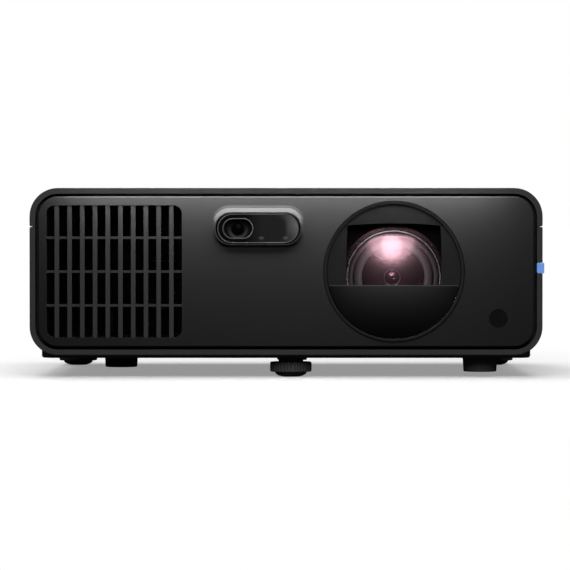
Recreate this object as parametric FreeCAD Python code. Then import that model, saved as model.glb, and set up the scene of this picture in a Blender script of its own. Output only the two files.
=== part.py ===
import FreeCAD, Part
import math
import os

# Compact short-throw laser home projector, standing on its three screw feet.
# Millimetres. X runs to the right seen from the front, Y runs back from the front,
# Z runs up from the table. The origin is on the table, under the middle of the body.

V = FreeCAD.Vector

# --- Body -----------------------------------------------------------------------------------------------
WIDTH = 306.9
DEPTH = 245.0
SHELL_HEIGHT = 100.1
CORNER_R = 17.0
WALL = 2.5
RIM = 3.4                 # the shell's wall where it shows as a frame round the front
EDGE_R = 0.7              # small rounding on moulded edges
PANEL_PROUD = 1.5         # the front panel stands this far out of the frame
PANEL_GAP = 1.7           # dark joint between the frame and the front panel
PANEL_T = 2.5
FLANGE_T = 2.0            # wall that runs back from the front panel's edge
FLANGE_DEPTH = 11.0
LEDGE = 6.2               # inset of the ledge on which the panels seat
LEDGE_T = 2.0
SPLIT_RISE = 77.0         # joint of the top and bottom covers above the shell's underside
SPLIT_GAP = 0.3
SEAM_DEPTH = 0.9          # V-groove along the joint
SEAM_H = 1.3
TONGUE_T = 1.0
TONGUE_H = 3.0
FIT = 0.1                 # clearance of moulded parts that locate each other
AIR = 0.3                 # clearance of parts that move past each other
RUN = 0.05                # radial clearance of a running fit

# --- Plinth, feet and ceiling mount ---------------------------------------------------------------------
PLINTH_INSET = 6.1        # from the body's side to the plinth's side
PLINTH_DROP = 1.9
PLINTH_FRONT = 9.0
PLINTH_BACK = 5.0
PLINTH_CORNER_R = 9.0
PAD_H = 2.9
PAD_R = 9.7
PAD_ROUND = 1.5           # rounding of the pad towards the table
KNURL_H = 6.1
WHEEL_R = 12.6
KNURL_COUNT = 36
KNURL_GROOVE_R = 0.75
KNURL_GROOVE_OUT = 0.25   # the grooves' centres outside the wheel
KNURL_EDGE = 0.6
FOOT_OUT = 2.7            # how far the feet are screwed out
FOOT_NECK_R = 7.45
FOOT_STEM_R = 4.0
FOOT_STEM_LENGTH = 15.0
FOOT_PEG_R = 3.0
FOOT_PEG_H = 3.5
FOOT_BOSS_R = 9.5
FOOT_RECESS = 4.0
FOOT_BORE_H = 16.0        # height of the boss in which the stem screws
FRONT_FOOT_X = 2.9
FRONT_FOOT_BACK = 25.0    # from the front panel's face
REAR_FOOT_INSET = 14.6    # from the body's side
REAR_FOOT_AHEAD = 31.0    # from the body's back
MOUNT_BOSS_R = 10.5
MOUNT_BOSS_TIP_R = 10.0
MOUNT_BOSS_H = 8.7
INSERT_R = 3.2
INSERT_BORE_R = 2.0
INSERT_LENGTH = 8.0
MOUNT_RIGHT_INSET = 35.9  # from the body's right side
MOUNT_RIGHT_BACK = 27.0   # from the front panel's face
MOUNT_LEFT_INSET = 49.6
MOUNT_LEFT_BACK = 100.0
MOUNT_REAR_X = 4.0
MOUNT_REAR_AHEAD = 23.0   # from the body's back

# --- Front grille ---------------------------------------------------------------------------------------
GRILLE_EDGE = 10.1        # from the body's side to the grille opening
GRILLE_W = 81.1
GRILLE_H = 79.2
GRILLE_RISE = 10.5        # from the shell's underside to the grille opening
GRILLE_R = 5.0
GRILLE_LAP = 2.0          # frame of a grille insert behind its opening
GRILLE_FRAME_T = 2.0
BAR_W = 2.6
BAR_PITCH = 7.61
BAR_COUNT = 10
BAR_SET_BACK = 0.6
RIB_W = 1.5
RIB_PITCH = 20.25
RIB_COUNT = 3
RIB_SET_BACK = 1.8
DUCT_T = 1.5
DUCT_LENGTH = 8.0

# --- Side vents -----------------------------------------------------------------------------------------
VENT_LENGTH = 88.0
VENT_H = 52.0
VENT_RISE = 20.0
VENT_R = 4.0
VENT_T = 3.0
VENT_BAR_COUNT = 11
EXHAUST_VENT_BACK = 38.0  # from the front panel's face to the left vent
INTAKE_VENT_AHEAD = 41.0   # from the rear panel's face to the right vent

# --- Lens window ----------------------------------------------------------------------------------------
RING_INSET = 88.95        # centre of the trim ring from the body's right side
RING_RISE = 50.1          # centre of the trim ring above the shell's underside
RING_R = 41.7
RING_W = 1.3
RING_PROUD = 0.2
RING_TUBE = 12.0
RING_FLANGE_W = 3.6
RING_FLANGE_T = 1.5
RING_LEDGE_W = 1.4
RING_LEDGE_T = 1.5
GROOVE = 0.6              # shadow joint on both sides of the trim ring
SURROUND_INSET = 1.2
SURROUND_T = 2.0
LID_DROP = 8.1            # edge of the lower cover below the ring's centre
LID_SAG_R = 150.0
OPENING_HALF_W = 28.65
OPENING_TOP_HALF_W = 27.8
OPENING_RISE = 28.8       # top of the opening above the ring's centre
OPENING_ARCH = 1.2
OPENING_BOW = 0.15        # bend of the opening's sides
OPENING_R = 1.2

# --- Projection lens ------------------------------------------------------------------------------------
AXIS_DROP = 3.8           # optical axis below the ring's centre
LENS_FRONT = 13.0         # lens retaining ring behind the panel's face
BARREL_R = 33.0
SEAT_R = 31.0             # where the focus and zoom rings turn
BORE_R = 27.5
RETAINER_R = 28.35
FRONT_GLASS_R = 28.0
GLASS_SAG = 5.5
GLASS_EDGE = 2.5
INNER_GLASS_R = 18.9
BAFFLE_R = 23.3
RING_TURN_R = 36.0
FOCUS_RING_AT = 31.0      # from the panel's face
FOCUS_RING_W = 13.0
ZOOM_RING_AT = 47.0
ZOOM_RING_W = 11.0
RIDGE_COUNT = 28
RIDGE_W = 2.4
RIDGE_H = 1.0
LEVER_R = 46.0
LEVER_W = 7.0
CELL_LENGTH = 12.0
FOCUS_CELL_AT = 22.0
ZOOM_CELL_AT = 58.0
BARREL_LENGTH = 82.0
BARREL_WAIST_R = 30.0
BARREL_FLANGE_R = 38.0
BARREL_FLANGE_T = 4.0
PLATE_REACH = 2.0         # the barrel's front plate laps the trim ring's tube
RETAINER_W = 4.0
RETAINER_H = 5.0
RETAINER_BEVEL = 1.0
CELL_STEP = 2.0
CELL_LIP = 1.0
BAFFLE_W = 0.9
ELEMENT_EDGE = 3.0        # inner elements: edge thickness and the domes on it
ELEMENT_SAG = 2.0
ELEMENT_CROWN = 1.0
GLASS_HOLLOW = 4.0        # depth of the front glass's hollow back
GLASS_RIM = 2.0
LEVER_INSET = 2.0
RIDGE_INSET = 1.0

# --- Focus and zoom window in the top cover -------------------------------------------------------------
DECK_BACK = 27.0
DECK_LENGTH = 36.0
DECK_HALF_W = 27.0
DECK_R = 6.0
SKIRT_T = 1.6
SKIRT_GAP = 1.5

# --- Sensor window --------------------------------------------------------------------------------------
SENSOR_X = -16.7
SENSOR_DROP = 24.3        # below the top of the body
SENSOR_W = 51.0
SENSOR_H = 18.8
SENSOR_LIP = 0.45         # flat edge of the boss round the window
SENSOR_FLANK = 1.4        # slope of the boss beside and below the window
SENSOR_BROW = 4.0         # and above it
SENSOR_BROW_R = 9.5
SENSOR_SLOPE = ((1, 0), (0.6, 0.2), (0.25, 0.7), (0, 1))  # share of the width, share of the height
SENSOR_PROUD = 1.9
SENSOR_GLASS_T = 2.0
SENSOR_GLASS_INSET = 0.4
CAMERA_X = -12.1          # from the window's centre
CAMERA_W = 18.0
CAMERA_H = 12.0
CAMERA_LIP = 0.5
CAMERA_WELL = 3.0
EYE_R = 3.6
EYE_NOSE_R = 2.6
RANGER_X = 9.2
RANGER_W = 16.0
RANGER_H = 12.0
RANGER_CORNER = 4.0
RANGER_EYE_R = 2.0
RANGER_EYE_SIDE = 4.0     # from the module's middle
SENSOR_LAP_T = 1.7        # rim that holds the window in the panel
SENSOR_DEPTH = 8.0

# --- Infrared windows and side tab ----------------------------------------------------------------------
IR_INSET = 26.6           # from the body's right side
IR_RISE = 22.1
IR_R = 5.45
IR_LIP = 1.5
IR_T = 6.0
REAR_IR_INSET = 25.4
REAR_IR_RISE = 70.0
TAB_RISE = 52.2
TAB_H = 6.4
TAB_LENGTH = 36.0
TAB_PROUD = 0.95

# --- Fans -----------------------------------------------------------------------------------------------
FAN_SIZE = 80.0
FAN_T = 25.0
FAN_DUCT_R = 38.0
FAN_TIP_GAP = 0.8
FAN_HUB_R = 17.0
FAN_MOTOR_R = 14.0
FAN_SHAFT_R = 1.5
FAN_STRUT_W = 5.0
FAN_STRUT_T = 2.5
FAN_STRUTS = 4
FAN_MOTOR_H = 3.5
FAN_HUB_DROP = 2.0        # hub's face below the frame's face
FAN_HUB_LID = 2.0
FAN_BLADES = 7
FAN_BLADE_T = 1.6
FAN_BLADE_INSET = 1.0     # from the hub's ends to the blades
FAN_PITCH = 38.0          # blade angle at the tip, degrees
FAN_CORNER_R = 5.0
FAN_HOLE_R = 2.2
FAN_HOLE_INSET = 4.3
FAN_TWIST = 20.0          # the blades flatten by this much from hub to tip, degrees
CRADLE_T = 2.0
CRADLE_INSET = 4.0
CRADLE_TRIM = 10.0        # the cradle ribs stop this far short of the fan's corners

# --- Light engine ---------------------------------------------------------------------------------------
ENGINE_W = 108.0
ENGINE_LENGTH = 62.0
ENGINE_SHIFT = -22.0      # engine centre from the lens axis
ENGINE_H = 70.0
ENGINE_WALL = 3.0
ENGINE_FOOT_R = 5.0
ENGINE_CASE_R = 6.0
ENGINE_FOOT_INSET = 2.0   # from the foot's edge to the engine's edge
LASER_BORE_R = 8.0
LASER_BACK_WALL = 10.0
LASER_CASE_R = 3.0
SINK_FIN_T = 1.4
SINK_FIN_PITCH = 5.0
SINK_BASE = 5.0
SINK_ROOT = 0.5           # the fins are let into the base by this much
IMAGER_SINK_W = 46.0
IMAGER_SINK_H = 40.0
IMAGER_SINK_D = 16.0
LASER_W = 40.0
LASER_LENGTH = 30.0
LASER_H = 34.0
LASER_SINK_W = 34.0
LASER_SINK_L = 60.0
LASER_SINK_H = 66.0
WHEEL_DISC_R = 21.0
WHEEL_DISC_T = 1.2
WHEEL_SIDE_ROOM = 6.0     # from the disc's edge to the engine's wall
WHEEL_HUB_R = 6.0
WHEEL_HUB_FRONT = 1.5
WHEEL_HUB_BACK = 1.0
WHEEL_MOTOR_R = 8.0
WHEEL_SHAFT_R = 1.5

# --- Power supply, board, speaker -----------------------------------------------------------------------
PSU_W = 80.0
PSU_SIDE_ROOM = 1.5       # from the foot boss to the power supply
PSU_FRONT_ROOM = 3.5      # from the laser's heat sink to the power supply
PSU_REAR_ROOM = 6.0       # from the power supply to the main board
PSU_SCREW_INSET = 6.0
COIL_W = 22.0
COIL_L = 18.0
COIL_H = 22.0
COIL_INSET = 8.0
COIL_REAR = 4.0
TRANSFORMER_W = 34.0
TRANSFORMER_L = 26.0
TRANSFORMER_H = 30.0
TRANSFORMER_INSET = 8.0
TRANSFORMER_REAR = 8.0
PLATE_INSET = 6.0         # upright heat sink plate along the board's front
PLATE_T = 3.0
PLATE_H = 34.0
PLATE_FRONT = 8.0
CAPACITOR_R = 9.0
CAPACITOR_H = 32.0
CAPACITOR_INSET = 18.0
CAPACITOR_BACK = 26.0
BOARD_T = 1.6
BOARD_MARGIN = 6.0        # of the main board beyond the outermost sockets
BOARD_DROP = 22.0         # top of the main board below the top cover's inside
CHIP_SIZE = 22.0
CHIP_T = 3.0
CHIP_PITCH = 44.0
CHIP_COUNT = 3
CHIP_RISE = 48.0
STANDOFF_R = 3.5
STANDOFF_H = 5.0
SPEAKER_W = 70.0
SPEAKER_H = 36.0
SPEAKER_D = 20.0
SPEAKER_CASE_R = 3.0
SPEAKER_CONE_R = 15.0
SPEAKER_CONE_DEPTH = 5.0
SPEAKER_CAP_R = 5.0
SPEAKER_SIDE = 118.0      # from the lens axis to the speaker's far side
SPEAKER_BACK = 52.0       # from the front panel's face
SPEAKER_LIFT = 2.0

# --- Rear panel -----------------------------------------------------------------------------------------
REAR_INSET = 1.0
REAR_T = 2.5
REAR_GAP = 0.4
PORT_RISE = 24.0          # row of sockets above the shell's underside
PORT_DEPTH = 14.0
SERIAL_INSET = 57.4       # each signal socket from the body's right side
AUDIO_INSETS = (87.4, 101.4)
DATA_INSETS = (119.4, 139.4)
VIDEO_INSETS = (163.4, 187.4)
VIDEO_W = 15.2
VIDEO_H = 6.0
DATA_W = 13.2
DATA_H = 5.8
SOCKET_WALL = 0.6
SOCKET_R = 0.8
SOCKET_RECESS = 0.4
SOCKET_FLOOR = 3.0
CONTACT_MARGIN = 2.0      # from a socket's side to its contact tongue
CONTACT_T = 1.4
CONTACT_RECESS = 2.0
AUDIO_R = 3.6
AUDIO_BORE_R = 1.75
AUDIO_COLLAR = 0.4
SERIAL_W = 17.0
SERIAL_H = 9.0
SERIAL_R = 2.0
SERIAL_NOSE = 3.0
SERIAL_WALL = 0.6
SERIAL_FLANGE_W = 31.0
SERIAL_FLANGE_H = 12.5
SERIAL_FLANGE_T = 2.0
PIN_R = 0.5
PIN_PITCH = 2.77
PIN_ROW = 1.4
PIN_RECESS = 1.0
INLET_INSET = 41.4        # from the body's left side
INLET_W = 27.0
INLET_H = 20.0
INLET_WALL = 1.5
INLET_R = 3.0
INLET_LIP = 2.0
INLET_LIP_T = 0.8
INLET_DEPTH = 18.0
BLADE_W = 2.0
BLADE_H = 4.0
BLADE_SPREAD = 7.0
EARTH_RISE = 3.5          # the middle blade above the outer two
BLADE_RECESS = 4.0
REAR_SLOT_COUNT = 12
REAR_SLOT_W = 3.2
REAR_SLOT_PITCH = 7.61
REAR_SLOT_H = 24.0
REAR_SLOT_RISE = 52.0
REAR_SLOT_INSET = 58.4    # middle of the slots from the body's left side
LOCK_INSET = 15.4
LOCK_W = 7.0
LOCK_H = 3.0

# --- Keypad ---------------------------------------------------------------------------------------------
KEYPAD_INSET = 91.4       # the keypad's centre from the body's right side
KEYPAD_AHEAD = 45.0       # and from the body's back
KEYPAD_W = 92.0
KEYPAD_L = 46.0
KEYPAD_R = 10.0
KEYPAD_T = 2.0
KEYPAD_LAP = 2.0
KEYPAD_LAP_T = 1.2
KEYPAD_WALL = 1.5
SWITCH_BOARD_INSET = 3.0
SWITCH_EAR_W = 12.0
BUTTON_GAP = 0.35
BUTTON_PROUD = 0.6
BUTTON_TRAVEL = 0.5
BUTTON_FLANGE = 0.8
BUTTON_FLANGE_T = 0.8
OK_R = 5.5
ARROW_IN_R = 7.0
ARROW_OUT_R = 16.0
ARROW_SWEEP = 78.0
SIDE_KEY_X = 31.0
SIDE_KEY_W = 12.0
SIDE_KEY_L = 8.0
SIDE_KEY_Y = 10.0
SIDE_KEY_R = 2.5
POWER_R = 6.0
LAMP_R = 1.0
LAMP_FLANGE = 0.8
LAMP_PITCH = 7.0

# --- Places worked out from the sizes above -------------------------------------------------------------
FRONT = -DEPTH / 2
REAR = DEPTH / 2
SIDE = WIDTH / 2
RIM_Y = FRONT + PANEL_PROUD
LEDGE_Y = FRONT + FLANGE_DEPTH
PLINTH_Z = PAD_H + KNURL_H + FOOT_OUT
SHELL_Z = PLINTH_Z + PLINTH_DROP
TOP_Z = SHELL_Z + SHELL_HEIGHT
FLOOR_Z = PLINTH_Z + WALL
CEILING_Z = TOP_Z - WALL
SPLIT_Z = SHELL_Z + SPLIT_RISE
REAR_PANEL_Y = REAR - REAR_INSET - REAR_T
RING_Z = SHELL_Z + RING_RISE
AXIS_Z = RING_Z - AXIS_DROP
LID_Z = RING_Z - LID_DROP
SENSOR_Z = TOP_Z - SENSOR_DROP
RING_X = SIDE - RING_INSET
IR_X = SIDE - IR_INSET
REAR_IR_X = SIDE - REAR_IR_INSET
GRILLE_X = (-SIDE + GRILLE_EDGE, -SIDE + GRILLE_EDGE + GRILLE_W)
GRILLE_Z = (SHELL_Z + GRILLE_RISE, SHELL_Z + GRILLE_RISE + GRILLE_H)
VENT_Z = (SHELL_Z + VENT_RISE, SHELL_Z + VENT_RISE + VENT_H)
EXHAUST_VENT_Y = (FRONT + EXHAUST_VENT_BACK, FRONT + EXHAUST_VENT_BACK + VENT_LENGTH)
INTAKE_VENT_Y = (REAR - INTAKE_VENT_AHEAD - VENT_LENGTH, REAR - INTAKE_VENT_AHEAD)
BARREL_BACK_Y = FRONT + LENS_FRONT + BARREL_LENGTH
PORT_Z = SHELL_Z + PORT_RISE
BOARD_Y = REAR_PANEL_Y - PORT_DEPTH
VIDEO_XS = [SIDE - inset for inset in VIDEO_INSETS]
DATA_XS = [SIDE - inset for inset in DATA_INSETS]
AUDIO_XS = [SIDE - inset for inset in AUDIO_INSETS]
SERIAL_X = SIDE - SERIAL_INSET
INLET_X = -SIDE + INLET_INSET
KEYPAD_X = SIDE - KEYPAD_INSET
KEYPAD_Y = REAR - KEYPAD_AHEAD
KEYPAD_Z = TOP_Z - KEYPAD_T
DECK_Y = (FRONT + DECK_BACK, FRONT + DECK_BACK + DECK_LENGTH)
FOOT_PLACES = {
    "front": (FRONT_FOOT_X, FRONT + FRONT_FOOT_BACK),
    "rear_left": (-SIDE + REAR_FOOT_INSET, REAR - REAR_FOOT_AHEAD),
    "rear_right": (SIDE - REAR_FOOT_INSET, REAR - REAR_FOOT_AHEAD),
}
MOUNT_PLACES = [
    (SIDE - MOUNT_RIGHT_INSET, FRONT + MOUNT_RIGHT_BACK),
    (-SIDE + MOUNT_LEFT_INSET, FRONT + MOUNT_LEFT_BACK),
    (MOUNT_REAR_X, REAR - MOUNT_REAR_AHEAD),
]


# --- Drawing tools --------------------------------------------------------------------------------------
def block(x, y, z):
    """Box between three (low, high) pairs."""
    return Part.makeBox(x[1] - x[0], y[1] - y[0], z[1] - z[0], V(x[0], y[0], z[0]))


def middle(centre, size):
    """(low, high) pair of a size about its centre."""
    return (centre - size / 2, centre + size / 2)


def rod(radius, start, end):
    """Cylinder between two points."""
    along = end - start
    return Part.makeCylinder(radius, along.Length, start, along)


def tube(outer, inner, start, end):
    """Hollow cylinder between two points."""
    along = (end - start).normalize()
    return rod(outer, start, end).cut(rod(inner, start - along, end + along))


def at(normal, u, v, w):
    """Point of a plane across X, Y or Z: its coordinates are (Y, Z), (X, Z) or (X, Y)."""
    if normal == "X":
        return V(w, u, v)
    if normal == "Y":
        return V(u, w, v)
    return V(u, v, w)


def rounded(normal, u, v, radius, w):
    """Prism with a rounded rectangle as its section, from w[0] to w[1] along the normal."""
    r = min(radius, (u[1] - u[0]) / 2, (v[1] - v[0]) / 2)
    corners = ((u[1], v[1], 1, 1), (u[0], v[1], -1, 1), (u[0], v[0], -1, -1), (u[1], v[0], 1, -1))
    arcs = []
    for index, (cu, cv, su, sv) in enumerate(corners):
        centre_u = cu - su * r
        centre_v = cv - sv * r
        ends = [(centre_u + su * r, centre_v), (centre_u, centre_v + sv * r)]
        if index % 2:
            ends.reverse()
        mid = (centre_u + su * r * math.sqrt(0.5), centre_v + sv * r * math.sqrt(0.5))
        arcs.append([at(normal, *ends[0], w[0]), at(normal, *mid, w[0]), at(normal, *ends[1], w[0])])
    edges = []
    for index, arc in enumerate(arcs):
        edges.append(Part.Arc(*arc).toShape())
        following = arcs[(index + 1) % 4]
        if (following[0] - arc[2]).Length > 1e-6:
            edges.append(Part.makeLine(arc[2], following[0]))
    face = Part.Face(Part.Wire(edges))
    return face.extrude(at(normal, 0, 0, w[1] - w[0]))


def turned(profile, origin, axis):
    """Solid turned about an axis from a profile of (radius, height) points."""
    points = [V(r, 0, h) for r, h in profile]
    face = Part.Face(Part.makePolygon(points + [points[0]]))
    solid = face.revolve(V(0, 0, 0), V(0, 0, 1), 360)
    solid.Placement = FreeCAD.Placement(origin, FreeCAD.Rotation(V(0, 0, 1), axis))
    return solid


def spun(shape, count, origin, axis):
    """The shape and its copies, evenly spaced round an axis."""
    copies = []
    for index in range(count):
        copy = shape.copy()
        copy.rotate(origin, axis, 360.0 * index / count)
        copies.append(copy)
    return copies


def row(count, pitch, centre):
    """Evenly spaced places about a centre."""
    return [centre + pitch * (index - (count - 1) / 2) for index in range(count)]


def joined(shapes):
    """The shapes fused into one solid with clean faces."""
    whole = shapes[0]
    if len(shapes) > 1:
        whole = whole.fuse(shapes[1:])
    return whole.removeSplitter()


def edges_at(shape, axis, place):
    """Edges that lie in the plane at a place along an axis (0, 1 or 2)."""
    found = []
    for edge in shape.Edges:
        low = (edge.BoundBox.XMin, edge.BoundBox.YMin, edge.BoundBox.ZMin)[axis]
        high = (edge.BoundBox.XMax, edge.BoundBox.YMax, edge.BoundBox.ZMax)[axis]
        if abs(low - place) < 0.01 and abs(high - place) < 0.01:
            found.append(edge)
    return found


def softened(shape, radius, axis, place):
    """The shape with the edges in one plane rounded."""
    return shape.makeFillet(radius, edges_at(shape, axis, place))


def lens_point(back, x=0.0, z=0.0):
    """Point measured from the optical axis and the front panel's face."""
    return V(RING_X + x, FRONT + back, AXIS_Z + z)


def ring_point(back):
    """Point on the trim ring's axis."""
    return V(RING_X, FRONT + back, RING_Z)


def body_prism(inset, y):
    """The body's rounded outline, inset all round, from y[0] to y[1]."""
    x = (-SIDE + inset, SIDE - inset)
    z = (SHELL_Z + inset, TOP_Z - inset)
    return rounded("Y", x, z, CORNER_R - inset, y)


# --- Outer shell ----------------------------------------------------------------------------------------
def shell():
    """Both covers as one sleeve with its plinth, open at the front and back."""
    outer = body_prism(0, (RIM_Y, REAR))
    outer = softened(outer, EDGE_R, 1, RIM_Y)
    outer = softened(outer, 2 * EDGE_R, 1, REAR)
    plinth_y = (FRONT + PLINTH_FRONT, REAR - PLINTH_BACK)
    plinth_top = SHELL_Z + CORNER_R / 2
    plinth_x = (-SIDE + PLINTH_INSET, SIDE - PLINTH_INSET)
    plinth = rounded("Z", plinth_x, plinth_y, PLINTH_CORNER_R, (PLINTH_Z, plinth_top))
    plinth = softened(plinth, 2 * EDGE_R, 2, PLINTH_Z)
    well_x = (plinth_x[0] + WALL, plinth_x[1] - WALL)
    well_y = (plinth_y[0] + WALL, plinth_y[1] - WALL)
    well = rounded("Z", well_x, well_y, PLINTH_CORNER_R - WALL, (FLOOR_Z, plinth_top))
    stations = (
        (RIM, RIM_Y - 1, LEDGE_Y),
        (LEDGE, LEDGE_Y, LEDGE_Y + LEDGE_T),
        (WALL, LEDGE_Y + LEDGE_T, REAR_PANEL_Y - LEDGE_T),
        (LEDGE, REAR_PANEL_Y - LEDGE_T, REAR_PANEL_Y),
        (RIM, REAR_PANEL_Y, REAR + 1),
    )
    room_y = (LEDGE_Y + LEDGE_T, REAR_PANEL_Y - LEDGE_T)
    well = well.common(block((-SIDE, SIDE), room_y, (0, TOP_Z)))
    cavity = [body_prism(inset, (start, end)) for inset, start, end in stations]
    return outer.fuse(plinth).cut(cavity + [well] + seam_grooves())


def seam_grooves():
    """V-grooves along both sides, where the covers meet."""
    grooves = []
    for side in (-1, 1):
        corners = [
            V(side * (SIDE - SEAM_DEPTH), RIM_Y - 1, SPLIT_Z),
            V(side * (SIDE + SEAM_DEPTH), RIM_Y - 1, SPLIT_Z + SEAM_H),
            V(side * (SIDE + SEAM_DEPTH), RIM_Y - 1, SPLIT_Z - SEAM_H),
        ]
        face = Part.Face(Part.makePolygon(corners + corners[:1]))
        grooves.append(face.extrude(V(0, DEPTH + 2, 0)))
    return grooves


def tongues(grow):
    """The tongue along both side walls that locates the top cover on the bottom cover."""
    strips = []
    for side in (-1, 1):
        inner = side * (SIDE - WALL - grow)
        outer = side * (SIDE - WALL + TONGUE_T + grow)
        x = (min(inner, outer), max(inner, outer))
        y = (RIM_Y + RIM - grow, REAR - RIM + grow)
        strips.append(block(x, y, (SPLIT_Z - SPLIT_GAP, SPLIT_Z + TONGUE_H + grow)))
    return strips


def below_split():
    """Space taken by the bottom cover."""
    return block((-WIDTH, WIDTH), (-DEPTH, DEPTH), (-TOP_Z, SPLIT_Z - SPLIT_GAP / 2))


def above_split():
    """Space taken by the top cover."""
    return block((-WIDTH, WIDTH), (-DEPTH, DEPTH), (SPLIT_Z + SPLIT_GAP / 2, 2 * TOP_Z))


def floor_post(radius, x, y, top):
    """Round post that stands on the bottom cover's floor."""
    return rod(radius, V(x, y, FLOOR_Z - WALL / 2), V(x, y, top))


def bottom_cover(sleeve):
    """Lower cover with the plinth, foot bosses and inner posts."""
    cover = sleeve.common(below_split())
    added = tongues(0)
    cuts = []
    for x, y in FOOT_PLACES.values():
        added.append(rod(FOOT_BOSS_R, V(x, y, PLINTH_Z), V(x, y, PLINTH_Z + FOOT_BORE_H)))
        cuts.append(rod(FOOT_NECK_R + AIR, V(x, y, PLINTH_Z - 1), V(x, y, PLINTH_Z + FOOT_RECESS)))
        cuts.append(rod(FOOT_STEM_R + RUN, V(x, y, PLINTH_Z), V(x, y, SPLIT_Z)))
    for x, y in engine_foot_places():
        added.append(floor_post(ENGINE_FOOT_R, x, y, engine_floor()))
    for x, y in psu_standoff_places():
        added.append(floor_post(STANDOFF_R, x, y, FLOOR_Z + STANDOFF_H))
    for x, y, z in fan_cradles() + speaker_shelf():
        added.append(block(x, y, z))
    cover = cover.fuse(added)
    cuts += vent_cuts()
    cuts.append(tab_notch())
    return cover.cut(cuts).removeSplitter()


def top_cover(sleeve):
    """Upper cover with the keypad's opening and the focus and zoom window."""
    cover = sleeve.common(above_split())
    skirt = rounded("Z", middle(RING_X, 2 * (DECK_HALF_W + SKIRT_T)),
                    (DECK_Y[0] - SKIRT_T, DECK_Y[1] + SKIRT_T), DECK_R + SKIRT_T,
                    (AXIS_Z + BORE_R, TOP_Z - EDGE_R))
    room = rod(RING_TURN_R + RIDGE_H + SKIRT_GAP, lens_point(0), lens_point(DECK_BACK + 2 * DECK_LENGTH))
    skirt = skirt.cut(room)
    skirt = skirt.common(above_split())
    window = rounded("Z", middle(RING_X, 2 * DECK_HALF_W), DECK_Y, DECK_R, (AXIS_Z, TOP_Z + 1))
    key_x = middle(KEYPAD_X, KEYPAD_W)
    key_y = middle(KEYPAD_Y, KEYPAD_L)
    keypad_hole = rounded("Z", key_x, key_y, KEYPAD_R, (CEILING_Z - 1, TOP_Z + 1))
    cover = cover.fuse(skirt)
    cover = cover.cut([window, keypad_hole] + tongues(FIT))
    return cover.removeSplitter()


# --- Front ----------------------------------------------------------------------------------------------
def front_panel():
    """Tray-shaped moulding with openings for the grille, the sensors and the lens ring."""
    inset = RIM + PANEL_GAP
    tray = body_prism(inset, (FRONT, LEDGE_Y))
    tray = softened(tray, EDGE_R, 1, FRONT)
    tray = tray.cut(body_prism(inset + FLANGE_T, (FRONT + PANEL_T, LEDGE_Y + 1)))
    boss = sensor_boss()
    tray = tray.fuse(boss)
    grille = rounded("Y", GRILLE_X, GRILLE_Z, GRILLE_R, (FRONT - 1, FRONT + PANEL_T + 1))
    lens_hole = rod(RING_R + GROOVE, ring_point(-1), ring_point(PANEL_T + 1))
    through = (FRONT - 2 * SENSOR_PROUD, FRONT + PANEL_T + 1)
    sensor_hole = stadium(SENSOR_X, SENSOR_Z, SENSOR_W, SENSOR_H, through)
    ir_z = SHELL_Z + IR_RISE
    ir_hole = rod(IR_R + FIT, V(IR_X, FRONT - 1, ir_z), V(IR_X, FRONT + PANEL_T + 1, ir_z))
    return tray.cut([grille, lens_hole, sensor_hole, ir_hole]).removeSplitter()


def stadium(x, z, width, height, y):
    """Prism with a round-ended slot as its section, along Y."""
    return rounded("Y", middle(x, width), middle(z, height), height / 2, y)


def sensor_boss():
    """Raised surround of the sensor window, which slopes widest above it."""
    sections = []
    for share, rise in SENSOR_SLOPE:
        beside = SENSOR_LIP + share * SENSOR_FLANK
        top = SENSOR_Z + SENSOR_H / 2 + SENSOR_LIP + share * SENSOR_BROW
        z = (SENSOR_Z - SENSOR_H / 2 - beside, top)
        end_r = SENSOR_H / 2 + SENSOR_LIP / 2
        radius = end_r + share * (SENSOR_BROW_R - end_r)
        y = FRONT - rise * SENSOR_PROUD
        prism = rounded("Y", middle(SENSOR_X, SENSOR_W + 2 * beside), z, radius, (y, y + 1))
        sections.append(Part.Wire(Part.__sortEdges__(edges_at(prism, 1, y))))
    return Part.makeLoft(sections, True, True)


def bar_grille(normal, u, v, depth, bars, ribs, radius):
    """Grille insert: frame behind an opening, bars along v that reach into it, ribs across.

    depth is (bar front, rib front, opening's back, frame back), in the direction of the normal."""
    bar_front, rib_front, frame_front, back = depth
    low = (min(frame_front, back), max(frame_front, back))
    lap_u = (u[0] - GRILLE_LAP, u[1] + GRILLE_LAP)
    lap_v = (v[0] - GRILLE_LAP, v[1] + GRILLE_LAP)
    frame = rounded(normal, lap_u, lap_v, radius + GRILLE_LAP, low)
    inner = rounded(normal, u, v, radius, (low[0] - 1, low[1] + 1))
    reach = (min(bar_front, back), max(bar_front, back))
    rib_reach = (min(rib_front, back), max(rib_front, back))
    grid = []
    for place in row(bars, BAR_PITCH, sum(u) / 2):
        grid.append(prism(normal, middle(place, BAR_W), v, reach))
    for place in row(ribs, RIB_PITCH, sum(v) / 2):
        grid.append(prism(normal, u, middle(place, RIB_W), rib_reach))
    everything = joined(grid)
    envelope = rounded(normal, u, v, radius, (min(reach[0], low[0]) - 1, max(reach[1], low[1]) + 1))
    neck = rounded(normal, (u[0] + FIT, u[1] - FIT), (v[0] + FIT, v[1] - FIT), radius, reach)
    everything = everything.common(envelope.common(neck.fuse(inner)))
    return joined([frame.cut(inner), everything])


def prism(normal, u, v, w):
    """Plain box given in a plane's coordinates."""
    if normal == "X":
        return block(w, u, v)
    return block(u, w, v)


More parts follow.
